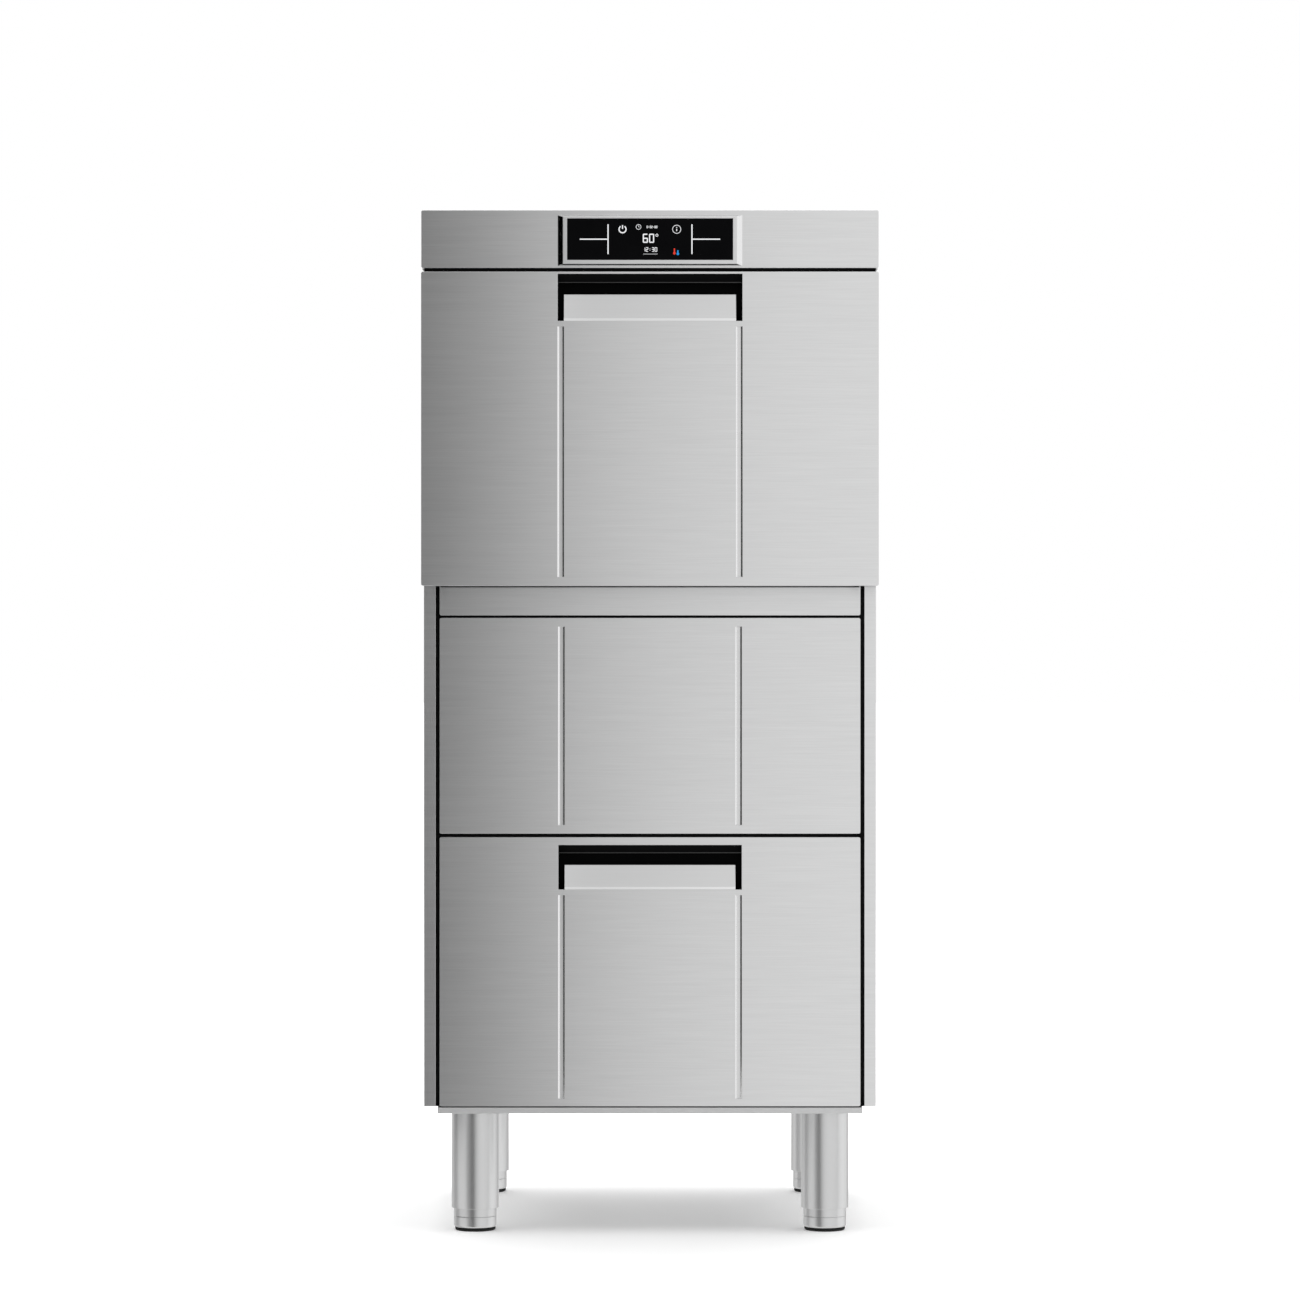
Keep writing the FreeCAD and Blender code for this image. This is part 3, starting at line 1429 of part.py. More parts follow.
hollow(
    drawer_box,
    -drawer_half + rim,
    drawer_half - rim,
    front_back + rim,
    box_rear - rim,
    box_top - wall,
    box_top,
)

# Door: outer skin with grooves, inner skin with glides, scoop, grip plate and hinge ears
door_depth = dim.door_thickness
door_handle_top = door_top - dim.door_handle_drop
door_skin = folded_panel("door_skin", half_width, door_bottom, door_top, front, door_depth)
handle_window(door_skin, front, door_handle_top, dim.door_handle_height)
groove(door_skin, front, door_bottom + dim.door_groove_foot, door_top - dim.door_groove_top)
notch_in = hinge_in - dim.notch_play
notch_out = hinge_out + dim.notch_play
notch_front = hinge_y - dim.hinge_nose - dim.notch_play
for notch_left, notch_right in ((notch_in, notch_out), (-notch_out, -notch_in)):
    hollow(door_skin, notch_left, notch_right, notch_front, door_back, door_bottom, door_bottom + wall)
handle_scoop("door_scoop", front, door_handle_top, dim.door_handle_height)
grip_plate("door_grip", front, door_handle_top, dim.door_handle_height)

inner_skin = new_body("door_inner_skin")
liner_half = half_width - inset
liner_low = door_bottom + inset
liner_front = door_back - dim.sheet
box(inner_skin, -liner_half, liner_half, liner_front, door_back, liner_low, door_top - inset)
for notch_left, notch_right in ((notch_in, notch_out), (-notch_out, -notch_in)):
    hollow(inner_skin, notch_left, notch_right, liner_front, door_back, liner_low, frame_step)
glide_middle = chamber_half - dim.glide_side
glide = box(
    inner_skin,
    glide_middle - dim.glide_width / 2,
    glide_middle + dim.glide_width / 2,
    door_back,
    door_back + dim.glide_height,
    sill_level + dim.glide_margin,
    opening_top - dim.glide_margin,
)

ear_profile = rectangle(liner_front - dim.ear_depth, liner_front, liner_low, liner_low + dim.ear_height)
ear_high = hinge_in - dim.hinge_play
ear_low = ear_high - dim.ear_gauge
pin_eye = Circle(hinge_y, hinge_z, dim.pin_radius)
ear = add(inner_skin, "YZ", ear_low, ear_high, ear_profile, pin_eye)
mirror(inner_skin, "YZ", glide, ear)

pins = new_body("hinge_pins")
mirror(pins, "YZ", add(pins, "YZ", ear_low, hinge_out + dim.pin_reach, pin_eye))

# Hinge brackets on the front posts, reaching through the door's notches to the pins
brackets = new_body("hinge_brackets")
arm_low = hinge_z - dim.hinge_arm_drop
arm_high = hinge_z + dim.hinge_nose
arm = add(
    brackets, "YZ", hinge_in, hinge_out, rectangle(hinge_y, post_front, arm_low, arm_high)
)
nose = add(brackets, "YZ", hinge_in, hinge_out, Circle(hinge_y, hinge_z, dim.hinge_nose))
eye = cut(
    brackets, "YZ", hinge_in, hinge_out, Circle(hinge_y, hinge_z, dim.pin_radius + dim.pin_clearance)
)
foot_low = sill_top + dim.fit * 2
foot_high = frame_step - dim.fit * 2
bracket_foot = box(
    brackets, hinge_in, frame_half, post_front - dim.hinge_foot, post_front, foot_low, foot_high
)
mirror(brackets, "YZ", arm, nose, eye, bracket_foot)

# Control fascia with the raised, bevelled frame of the display, and the glass in it
fascia_face = front + dim.bezel_height
fascia_rear = fascia_face + dim.fascia_depth
fascia = folded_panel(
    "control_fascia", half_width, hood_bottom, hood_top, fascia_face, dim.fascia_depth
)
bezel_low = hood_bottom + dim.bezel_foot
bezel_high = hood_top - dim.bezel_top
bezel_half = dim.bezel_half_width
taper(
    fascia,
    front,
    rectangle(
        -bezel_half + dim.bezel_side_slope,
        bezel_half - dim.bezel_side_slope,
        bezel_low + dim.bezel_end_slope,
        bezel_high - dim.bezel_end_slope,
    ),
    fascia_face,
    rectangle(-bezel_half, bezel_half, bezel_low, bezel_high),
    plane="XZ",
)
glass_half = dim.glass_half_width
glass_low = hood_bottom + dim.glass_foot
glass_high = hood_top - dim.glass_top
glass_face = front + dim.glass_inset
glass_rear = glass_face + dim.glass_thickness
gap = dim.glass_fit
hollow(
    fascia,
    -glass_half - gap,
    glass_half + gap,
    front,
    glass_rear,
    glass_low - gap,
    glass_high + gap,
)
glass = new_body("display_glass")
box(glass, -glass_half, glass_half, glass_face, glass_rear, glass_low, glass_high)

control = new_body("control_box")
control_front = fascia_face + dim.sheet
box(
    control,
    -dim.control_half_width,
    dim.control_half_width,
    control_front,
    control_front + dim.control_depth,
    hood_bottom + dim.control_inset,
    hood_top - dim.control_inset,
)

# Hood: a cap over the cabinet behind the fascia, its skirts outside the side and rear panels
hood = new_body("hood")
box(hood, -half_width, half_width, fascia_rear, back, hood_bottom, hood_top)
round_edges(
    hood,
    dim.corner_radius,
    lambda edge: edge.YLength > 1 and edge.ZMin > hood_bottom.value + 1,
)
hollow(
    hood,
    -half_width + wall,
    half_width - wall,
    fascia_rear,
    back - wall,
    hood_bottom,
    hood_top - wall,
)

doc.recompute()

bodies = [item for item in doc.Objects if item.TypeId == "PartDesign::Body"]
faults = [
    f"{item.Label}: {item.State}"
    for item in doc.Objects
    if "Invalid" in item.State or "Error" in item.State
]
faults += [
    f"{body.Label}: no valid shape" for body in bodies if body.Shape.isNull() or not body.Shape.isValid()
]
if faults:
    raise SystemExit("\n".join(faults))

os.makedirs("parts", exist_ok=True)
for body in bodies:
    body.Shape.exportStep(os.path.join("parts", f"{body.Label}.step"))
print(len(bodies), "pieces")
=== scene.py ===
"""Upright stainless dishwasher with a utensil drawer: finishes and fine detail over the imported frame.

Metres. +Z is up and -Y is the front. Every piece rides on a body of the frame and sits where the
frame's nodes are.
"""

import json
import math

import bmesh
import bpy
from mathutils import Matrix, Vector

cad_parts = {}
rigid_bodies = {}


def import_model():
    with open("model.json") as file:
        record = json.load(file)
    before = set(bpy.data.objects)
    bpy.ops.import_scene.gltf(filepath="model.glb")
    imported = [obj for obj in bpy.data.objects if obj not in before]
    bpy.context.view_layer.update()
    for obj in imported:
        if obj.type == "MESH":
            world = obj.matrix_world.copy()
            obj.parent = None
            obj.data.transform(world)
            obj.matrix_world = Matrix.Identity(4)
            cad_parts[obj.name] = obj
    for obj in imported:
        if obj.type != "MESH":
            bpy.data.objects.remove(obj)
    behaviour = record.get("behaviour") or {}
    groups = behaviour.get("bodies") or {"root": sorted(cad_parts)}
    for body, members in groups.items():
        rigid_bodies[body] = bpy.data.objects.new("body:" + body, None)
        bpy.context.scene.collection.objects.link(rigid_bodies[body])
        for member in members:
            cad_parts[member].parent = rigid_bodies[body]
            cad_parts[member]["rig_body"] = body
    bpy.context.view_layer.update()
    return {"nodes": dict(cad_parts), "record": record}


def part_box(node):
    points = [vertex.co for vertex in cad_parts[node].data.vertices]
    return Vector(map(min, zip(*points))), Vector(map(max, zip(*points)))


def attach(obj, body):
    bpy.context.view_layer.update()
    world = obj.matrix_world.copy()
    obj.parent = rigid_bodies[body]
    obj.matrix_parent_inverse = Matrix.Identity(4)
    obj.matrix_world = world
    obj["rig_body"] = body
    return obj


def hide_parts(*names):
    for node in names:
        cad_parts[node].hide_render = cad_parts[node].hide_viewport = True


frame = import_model()
NODES = frame["nodes"]
BODY_OF = {node: obj["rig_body"] for node, obj in NODES.items()}
SLOT_OF = {part["node"]: part["material_slot"] for part in frame["record"]["subparts"]}
MM = 0.001


# Camera, as in the photograph: level, straight in front, with a long lens
CAMERA_PLACE = (0.0, -6.25, 0.773)
LENS_MM = 125.7
SENSOR_MM = 36.0


def make_camera():
    data = bpy.data.cameras.new("camera")
    data.lens = LENS_MM
    data.sensor_width = SENSOR_MM
    camera = bpy.data.objects.new("camera", data)
    camera.location = CAMERA_PLACE
    camera.rotation_euler = (math.pi / 2, 0.0, 0.0)
    bpy.context.scene.collection.objects.link(camera)
    bpy.context.scene.camera = camera


# Node helpers


class Shader:
    """A node material: one Principled shader and short ways to add the nodes that feed it."""

    def __init__(self, name, color=(0.5, 0.5, 0.5), metallic=0.0, roughness=0.5, specular=0.5):
        self.material = bpy.data.materials.new(name)
        self.material.use_nodes = True
        self.nodes = self.material.node_tree.nodes
        self.links = self.material.node_tree.links
        self.bsdf = self.nodes["Principled BSDF"]
        self.output = self.nodes["Material Output"]
        self.set("Base Color", (*color, 1.0))
        self.set("Metallic", metallic)
        self.set("Roughness", roughness)
        self.set("Specular IOR Level", specular)

    def feed(self, socket, value):
        if isinstance(value, bpy.types.NodeSocket):
            self.links.new(value, socket)
        else:
            socket.default_value = value

    def set(self, socket, value):
        self.feed(self.bsdf.inputs[socket], value)

    def add(self, kind, *inputs, named=None, **settings):
        """A node of this kind; its inputs are values or sockets, given in order or by name."""
        node = self.nodes.new("ShaderNode" + kind)
        for key, value in settings.items():
            setattr(node, key, value)
        for socket, value in zip(node.inputs, inputs):
            self.feed(socket, value)
        for key, value in (named or {}).items():
            self.feed(node.inputs[key], value)
        return node

    def math(self, operation, *inputs):
        return self.add("Math", *inputs, operation=operation).outputs[0]

    def vector(self, operation, *inputs):
        node = self.add("VectorMath", *inputs, operation=operation)
        scalar = operation in ("DOT_PRODUCT", "LENGTH")
        return node.outputs["Value" if scalar else "Vector"]

    def position(self):
        """The place on the object at rest: it stays with the piece when its body moves."""
        return self.add("TexCoord").outputs["Object"]

    def noise(self, place, scale, detail=2.0, roughness=0.5):
        named = {"Vector": place, "Scale": scale, "Detail": detail, "Roughness": roughness}
        return self.add("TexNoise", named=named).outputs["Fac"]

    def blend(self, first, second, share):
        """The first by its share and the second by the rest."""
        first_part = self.math("MULTIPLY", first, share)
        second_part = self.math("MULTIPLY", second, 1.0 - share)
        return self.math("ADD", first_part, second_part)

    def spread(self, factor, low, high):
        """Maps 0..1 to low..high."""
        named = {"To Min": low, "To Max": high}
        return self.add("MapRange", factor, named=named).outputs["Result"]

    def tint(self, factor, dark, pale):
        node = self.add("Mix", factor, data_type="RGBA")
        colors = [socket for socket in node.inputs if socket.type == "RGBA"]
        colors[0].default_value = (*dark, 1.0)
        colors[1].default_value = (*pale, 1.0)
        return [socket for socket in node.outputs if socket.type == "RGBA"][0]

    def bump(self, height, distance, strength):
        named = {"Height": height, "Distance": distance, "Strength": strength}
        return self.add("Bump", named=named).outputs["Normal"]


def grey(value):
    """A neutral with the faint cool cast of stainless steel."""
    return (value, value * 1.003, value * 1.004)


def dimmed(color, share):
    return tuple(channel * share for channel in color)


# Materials: scratches per metre, and their upright, which leans so that level faces have a grain too
FINE_GRAIN, BROAD_GRAIN = 620.0, 150.0
GRAIN_UP = (0.0, 0.04, 1.0)
HAIR = 0.02 * MM


def brushed(name, tone, roughness=0.34, anisotropy=0.6, contrast=0.05, length=9.0):
    """Sheet brushed level: fine scratches run across each face, and gloss stretches up and down."""
    shader = Shader(name, grey(tone), metallic=1.0, roughness=roughness)
    place = shader.position()
    normal = shader.add("NewGeometry").outputs["Normal"]
    across = shader.vector("NORMALIZE", shader.vector("CROSS_PRODUCT", normal, GRAIN_UP))
    upright = shader.vector("CROSS_PRODUCT", normal, across)
    along = shader.vector("DOT_PRODUCT", place, across)
    side = shader.vector("DOT_PRODUCT", place, upright)

    def scratches(stretch, density, detail, breadth):
        level = shader.math("MULTIPLY", along, stretch)
        rise = shader.math("MULTIPLY", side, density)
        grain = shader.add("CombineXYZ", level, rise)
        return shader.noise(grain.outputs[0], 1.0, detail, breadth)

    fine = scratches(length, FINE_GRAIN, 3.0, 0.65)
    broad = scratches(length * 0.5, BROAD_GRAIN, 2.0, 0.6)
    cloud = shader.noise(place, 7.0)
    streak = shader.blend(fine, broad, 0.6)
    low, high = tone * (1.0 - contrast * 2), tone * (1.0 + contrast * 2)
    shader.set("Base Color", shader.tint(streak, grey(low), grey(high)))
    wander = shader.blend(streak, cloud, 0.7)
    shader.set("Roughness", shader.spread(wander, roughness - 0.07, roughness + 0.07))
    shader.set("Anisotropic", anisotropy)
    shader.set("Tangent", upright)
    shader.set("Normal", shader.bump(fine, HAIR, 0.35))
    return shader.material


def mill_sheet(name, tone, roughness, metallic=0.85):
    """Plain rolled sheet inside the machine: soft clouds, a faint rolling grain and a dull bloom."""
    shader = Shader(name, grey(tone), metallic=metallic, roughness=roughness)
    place = shader.position()
    cloud = shader.noise(place, 9.0, 3.0, 0.55)
    grain = shader.noise(shader.vector("MULTIPLY", place, (6.0, 90.0, 260.0)), 1.0, 2.0, 0.6)
    mix = shader.blend(cloud, grain, 0.5)
    shader.set("Base Color", shader.tint(mix, grey(tone * 0.9), grey(tone * 1.08)))
    shader.set("Roughness", shader.spread(mix, roughness - 0.08, roughness + 0.1))
    shader.set("Normal", shader.bump(shader.noise(place, 800.0), HAIR, 0.4))
    return shader.material


def threaded(name, color, pitch):
    """Brass fittings along Y: a cut thread, with dull grooves."""
    shader = Shader(name, color, metallic=1.0, roughness=0.3)
    place = shader.position()
    split = shader.add("SeparateXYZ", place)
    wave = shader.math("PINGPONG", split.outputs["Y"], pitch / 2)
    ridge = shader.math("DIVIDE", wave, pitch / 2)
    stain = shader.noise(place, 120.0, 3.0, 0.6)
    wear = shader.math("MULTIPLY", ridge, stain)
    shader.set("Base Color", shader.tint(wear, dimmed(color, 0.6), color))
    shader.set("Roughness", shader.spread(stain, 0.24, 0.44))
    shader.set("Normal", shader.bump(ridge, 0.7 * MM, 0.8))
    return shader.material


def turned(name, tone, roughness=0.22):
    """Turned or drawn metal: rings round the axis and a clean gloss."""
    shader = Shader(name, grey(tone), metallic=1.0, roughness=roughness)
    place = shader.vector("MULTIPLY", shader.position(), (3.0, 3.0, 900.0))
    rings = shader.noise(place, 1.0, 2.0, 0.6)
    shader.set("Base Color", shader.tint(rings, dimmed(grey(tone), 0.9), grey(tone)))
    shader.set("Roughness", shader.spread(rings, roughness - 0.05, roughness + 0.06))
    shader.set("Normal", shader.bump(rings, HAIR, 0.3))
    return shader.material


def moulded(name, color, roughness=0.45, specular=0.5):
    """Moulded plastic: a fine even grain and slight flow marks."""
    shader = Shader(name, color, roughness=roughness, specular=specular)
    place = shader.position()
    pits = shader.noise(place, 900.0, 2.0, 0.6)
    flow = shader.noise(place, 14.0)
    pale = tuple(min(channel * 1.12 + 0.002, 1.0) for channel in color)
    shader.set("Base Color", shader.tint(flow, dimmed(color, 0.82), pale))
    shader.set("Roughness", shader.spread(flow, roughness - 0.07, roughness + 0.07))
    shader.set("Normal", shader.bump(pits, 2 * HAIR, 0.5))
    return shader.material


def rubber(name, tone):
    """Black rubber: matt, with a dusty bloom in patches."""
    shader = Shader(name, (tone,) * 3, roughness=0.75, specular=0.25)
    place = shader.position()
    bloom = shader.noise(place, 60.0, 3.0, 0.6)
    shader.set("Base Color", shader.tint(bloom, (tone * 0.6,) * 3, (tone * 1.7,) * 3))
    shader.set("Roughness", shader.spread(bloom, 0.65, 0.85))
    shader.set("Normal", shader.bump(shader.noise(place, 1400.0), 0.05 * MM, 0.4))
    return shader.material


def perforated(name, tone, pitch):
    """Sheet with rows of round holes, drawn as dark dots of painted shade with a pressed rim."""
    shader = Shader(name, grey(tone), metallic=1.0, roughness=0.32)
    place = shader.vector("MULTIPLY", shader.position(), (1.0 / pitch,) * 3)
    cell = shader.vector("SUBTRACT", shader.vector("FRACTION", place), (0.5, 0.5, 0.5))
    reach = shader.vector("LENGTH", shader.vector("MULTIPLY", cell, (1.0, 1.0, 0.0)))
    solid = shader.math("GREATER_THAN", reach, 0.3)
    shader.set("Base Color", shader.tint(solid, grey(0.02), grey(tone)))
    shader.set("Metallic", solid)
    rim = shader.add("MapRange", reach, named={"From Min": 0.25, "From Max": 0.36})
    shader.set("Normal", shader.bump(rim.outputs["Result"], 0.6 * MM, 0.7))
    return shader.material


def heat_tinted(name):
    """Heater tube: dark steel with straw and blue heat colours and a little scale."""
    shader = Shader(name, (0.2, 0.19, 0.18), metallic=1.0, roughness=0.42)
    place = shader.position()
    band = shader.noise(place, 18.0, 3.0, 0.6)
    shader.set("Base Color", shader.tint(band, (0.10, 0.09, 0.10), (0.34, 0.28, 0.21)))
    shader.set("Roughness", shader.spread(band, 0.32, 0.55))
    shader.set("Normal", shader.bump(shader.noise(place, 420.0, 3.0), 0.2 * MM, 0.4))
    return shader.material


def cast(name, tone):
    """Cast housing: a pebbled skin."""
    shader = Shader(name, grey(tone), metallic=1.0)
    place = shader.position()
    pebble = shader.noise(place, 700.0, 3.0, 0.6)
    patch = shader.noise(place, 30.0)
    shader.set("Base Color", shader.tint(patch, grey(tone * 0.85), grey(tone * 1.15)))
    shader.set("Normal", shader.bump(pebble, 0.3 * MM, 0.6))
    return shader.material


def black_glass(name):
    """Touch glass: deep black with a soft anti-glare face and a faint film of handling."""
    shader = Shader(name, (0.003, 0.003, 0.0035), roughness=0.12, specular=0.02)
    film = shader.noise(shader.position(), 45.0, 3.0, 0.6)
    shader.set("Roughness", shader.spread(film, 0.08, 0.2))
    shader.set("Base Color", shader.tint(film, (0.002, 0.002, 0.0025), (0.0045, 0.0045, 0.005)))
    return shader.material


def lit_sign(name, color):
    """A lit sign behind the touch glass, a little uneven as a backlight is."""
    shader = Shader(name, (0.0, 0.0, 0.0), roughness=0.4, specular=0.0)
    glow = shader.noise(shader.position(), 300.0)
    shader.set("Emission Color", shader.tint(glow, dimmed(color, 0.88), color))
    shader.set("Emission Strength", 1.0)
    return shader.material


MATERIALS = {
    "brushed_sheet": brushed("brushed_sheet", 0.7, contrast=0.06, length=13.0),
    "satin_tube": brushed("satin_tube", 0.62, roughness=0.33, anisotropy=0.1, contrast=0.015, length=2.0),
    "folded_inner_sheet": mill_sheet("folded_inner_sheet", 0.66, roughness=0.46, metallic=0.6),
    # The frame is black partly as its own paint and partly as painted shade: seen through the panel gaps, it
    # darkens them
    "frame_black": moulded("frame_black", (0.012, 0.012, 0.013), roughness=0.6, specular=0.2),
    "pressed_recess": moulded("pressed_recess", (0.0015, 0.0015, 0.0016), roughness=0.5, specular=0.04),
    "scoop_bead": turned("scoop_bead", 0.07, roughness=0.3),
    "grip_plate": brushed("grip_plate", 0.69, roughness=0.3, contrast=0.02),
    # A paler copy of the grip plate's steel: a painted highlight on the front of each grip's lower lip
    "grip_lip": brushed("grip_lip", 0.85, roughness=0.3, contrast=0.02),
    "polished_bevel": brushed("polished_bevel", 0.78, roughness=0.13, anisotropy=0.2, contrast=0.01),
    "tank_steel": mill_sheet("tank_steel", 0.74, roughness=0.34),
    "arm_steel": mill_sheet("arm_steel", 0.7, roughness=0.26),
    "perforated_filter": perforated("perforated_filter", 0.55, pitch=6 * MM),
    "slide_steel": mill_sheet("slide_steel", 0.66, roughness=0.3),
    "hinge_steel": turned("hinge_steel", 0.7),
    "screw_steel": turned("screw_steel", 0.66),
    "heater_tube": heat_tinted("heater_tube"),
    "foot_rubber": rubber("foot_rubber", 0.012),
    "seal_rubber": rubber("seal_rubber", 0.014),
    "rack_plastic": moulded("rack_plastic", (0.10, 0.20, 0.44), roughness=0.4),
    "rail_plastic": moulded("rail_plastic", (0.70, 0.71, 0.71), roughness=0.4),
    "standpipe_plastic": moulded("standpipe_plastic", (0.32, 0.33, 0.35)),
    "pump_housing": cast("pump_housing", 0.42),
    "drain_pump_housing": moulded("drain_pump_housing", (0.03, 0.03, 0.032)),
    "dosing_housing": moulded("dosing_housing", (0.72, 0.72, 0.71)),
    "boiler_jacket": moulded("boiler_jacket", (0.05, 0.05, 0.052), roughness=0.7),
    "hose_rubber": rubber("hose_rubber", 0.02),
    "brass_fitting": threaded("brass_fitting", (0.66, 0.49, 0.24), pitch=1.8 * MM),
    "valve_body": moulded("valve_body", (0.70, 0.70, 0.67)),
    "gland_plastic": moulded("gland_plastic", (0.02, 0.02, 0.02)),
    "display_glass": black_glass("display_glass"),
    "control_box": moulded("control_box", (0.03, 0.03, 0.033)),
}
WHITE_SIGN = lit_sign("white_sign", (0.97, 0.98, 1.0))
RED_SIGN = lit_sign("red_sign", (0.80, 0.06, 0.04))
BLUE_SIGN = lit_sign("blue_sign", (0.03, 0.32, 0.75))


def dress_nodes():
    """Every node of the frame takes the finish of its slot."""
    for node, obj in NODES.items():
        obj.data.materials.clear()
        obj.data.materials.append(MATERIALS[SLOT_OF[node]])


# Mesh helpers
SMOOTH_ANGLE = math.radians(30)
FLAT_ANGLE = math.radians(0.6)
WELD = 0.001 * MM
SHEET_EDGE = 0.35 * MM
MOULD_EDGE = 0.5 * MM
LATHE_SIDES = 96


def new_piece(name, mesh, material, host):
    """Puts a mesh into the scene: it rides with its host node and takes the slot of another node."""
    mesh.materials.append(material)
    piece = bpy.data.objects.new(name, mesh)
    bpy.context.scene.collection.objects.link(piece)
    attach(piece, BODY_OF[host])
    return piece


def stand_in(node, mesh):
    """A finer mesh in the node's own finish, shown in its place."""
    piece = new_piece(node + "_piece", mesh, MATERIALS[SLOT_OF[node]], node)
    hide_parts(node)
    return piece


def finish_mesh(bm, name):
    mesh = bpy.data.meshes.new(name)
    bm.normal_update()
    bm.to_mesh(mesh)
    bm.free()
    mesh.polygons.foreach_set("use_smooth", [True] * len(mesh.polygons))
    mesh.set_sharp_from_angle(angle=SMOOTH_ANGLE)
    return mesh


def softened(node, width):
    """Stands for a sheet or a moulding: the same form with its edges rounded."""
    bm = bmesh.new()
    bm.from_mesh(NODES[node].data)
    bmesh.ops.remove_doubles(bm, verts=bm.verts, dist=WELD)
    bmesh.ops.dissolve_limit(bm, angle_limit=FLAT_ANGLE, verts=bm.verts, edges=bm.edges)
    bmesh.ops.connect_verts_concave(bm, faces=bm.faces)
    piece = stand_in(node, finish_mesh(bm, node + "_soft"))
    bevel = piece.modifiers.new("edges", "BEVEL")
    bevel.width = width
    bevel.segments = 2
    bevel.limit_method = "ANGLE"
    bevel.angle_limit = SMOOTH_ANGLE
    bevel.use_clamp_overlap = False
    bevel.loop_slide = False
    even = piece.modifiers.new("shading", "WEIGHTED_NORMAL")
    even.keep_sharp = True
    return piece


def arc(centre_r, centre_z, radius, start, end, steps):
    """Points of a round corner in a turned profile; angles in degrees, 0 outwards and 90 up."""
    angles = [math.radians(start + (end - start) * i / steps) for i in range(steps + 1)]
    return [(centre_r + radius * math.cos(a), centre_z + radius * math.sin(a)) for a in angles]


def lathe(name, profile, centre):
    """A closed turned form about an upright axis: profile is a closed loop of (radius, height)."""
    bm = bmesh.new()
    rings = []
    for step in range(LATHE_SIDES):
        angle = 2 * math.pi * step / LATHE_SIDES
        way = Vector((math.cos(angle), math.sin(angle), 0.0))
        rings.append([bm.verts.new(centre + way * r + Vector((0.0, 0.0, z))) for r, z in profile])
    for near, far in zip(rings, rings[1:] + rings[:1]):
        for i in range(len(profile)):
            j = (i + 1) % len(profile)
            on_axis = profile[i][0] == 0.0 and profile[j][0] == 0.0
            if not on_axis:
                bm.faces.new((near[i], far[i], far[j], near[j]))
    bmesh.ops.remove_doubles(bm, verts=bm.verts, dist=WELD)
    bmesh.ops.recalc_face_normals(bm, faces=bm.faces)
    return finish_mesh(bm, name)


def prism_along_x(name, x0, x1, section):
    """A bar along X: section is a loop of (y, z)."""
    bm = bmesh.new()
    ends = [[bm.verts.new((x, y, z)) for y, z in section] for x in (x0, x1)]
    bm.faces.new(ends[0])
    bm.faces.new(list(reversed(ends[1])))
    for i in range(len(section)):
        j = (i + 1) % len(section)
        bm.faces.new((ends[0][j], ends[0][i], ends[1][i], ends[1][j]))
    bmesh.ops.recalc_face_normals(bm, faces=bm.faces)
    return finish_mesh(bm, name)


def joined(name, meshes):
    """One mesh from several."""
    bm = bmesh.new()
    for mesh in meshes:
        bm.from_mesh(mesh)
    return finish_mesh(bm, name)


# Legs and feet
CORNERS = ("front_left", "front_right", "rear_left", "rear_right")
TUBE_EDGE = 0.6 * MM
TUBE_CLEAR = 0.4 * MM
TUBE_CAP = 8 * MM
SLEEVE_ROUND = 4.5 * MM
SLEEVE_GROOVE = 0.5 * MM
SLEEVE_GROOVE_HEIGHT = 15 * MM
PAD_ROUND = 2.2 * MM


def axis_of(node):
    low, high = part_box(node)
    return Vector(((low.x + high.x) / 2, (low.y + high.y) / 2, 0.0))


def radius_of(node):
    low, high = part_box(node)
    return (high.x - low.x) / 2


def turned_foot(node, centre, edge):
    """A foot's sleeve or pad: edge is the profile from its under side to its wall."""
    radius, low, high = radius_of(node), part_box(node)[0].z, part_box(node)[1].z
    profile = [(0.0, low)] + edge + [(radius, high), (0.0, high)]
    return stand_in(node, lathe(node + "_turned", profile, centre))


def make_legs():
    """Four tubes closed at the top, each with a grooved sleeve and a round pad."""
    tubes_low, tubes_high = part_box("leg_tubes")
    foot, top = tubes_low.z, tubes_high.z
    tube_radius = axis_of("foot_sleeve_front_left").x - tubes_low.x
    tube_edge = arc(tube_radius - TUBE_EDGE, foot + TUBE_EDGE, TUBE_EDGE, -90, 0, 3)
    tubes, made = [], []
    for corner in CORNERS:
        sleeve, pad = "foot_sleeve_" + corner, "foot_pad_" + corner
        centre, radius = axis_of(sleeve), radius_of(sleeve)
        bore = radius + TUBE_CLEAR
        profile = [(bore, foot)] + tube_edge + [(tube_radius, top), (0.0, top)]
        profile += [(0.0, top - TUBE_CAP), (bore, top - TUBE_CAP)]
        tubes.append(lathe("leg_" + corner, profile, centre))
        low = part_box(sleeve)[0].z
        edge = arc(radius - SLEEVE_ROUND, low + SLEEVE_ROUND, SLEEVE_ROUND, -75, 0, 6)
        cut, depth = low + SLEEVE_GROOVE_HEIGHT, SLEEVE_GROOVE
        edge += [(radius, cut), (radius - depth, cut + depth), (radius, cut + 2 * depth)]
        made.append(turned_foot(sleeve, centre, edge))
        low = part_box(pad)[0].z
        edge = arc(radius_of(pad) - PAD_ROUND, low + PAD_ROUND, PAD_ROUND, -90, 0, 5)
        made.append(turned_foot(pad, centre, edge))
    return made + [stand_in("leg_tubes", joined("legs", tubes))]


# Second finishes: polished slopes of the display frame and the grooves, and a painted highlight on the lips
# of the grips
BEZEL_DEPTH, BEZEL_HALF = 6 * MM, 130 * MM
BEZEL_STEEP, BEZEL_SHALLOW = -0.2, -0.95
PRESS_DEPTH = 4 * MM
PRESS_NEAR, PRESS_FAR = 105 * MM, 135 * MM
FLANK_SHALLOW, FLANK_STEEP = 0.3, 0.98
GRIP_LIP, LIP_FACING = 3.5 * MM, -0.9


def second_finish(piece, name, pick):
    """Gives the faces that pick chooses, by centre and normal, another finish of the same slot."""
    piece.data.materials.append(MATERIALS[name])
    for face in piece.data.polygons:
        if pick(face.center, face.normal):
            face.material_index = 1


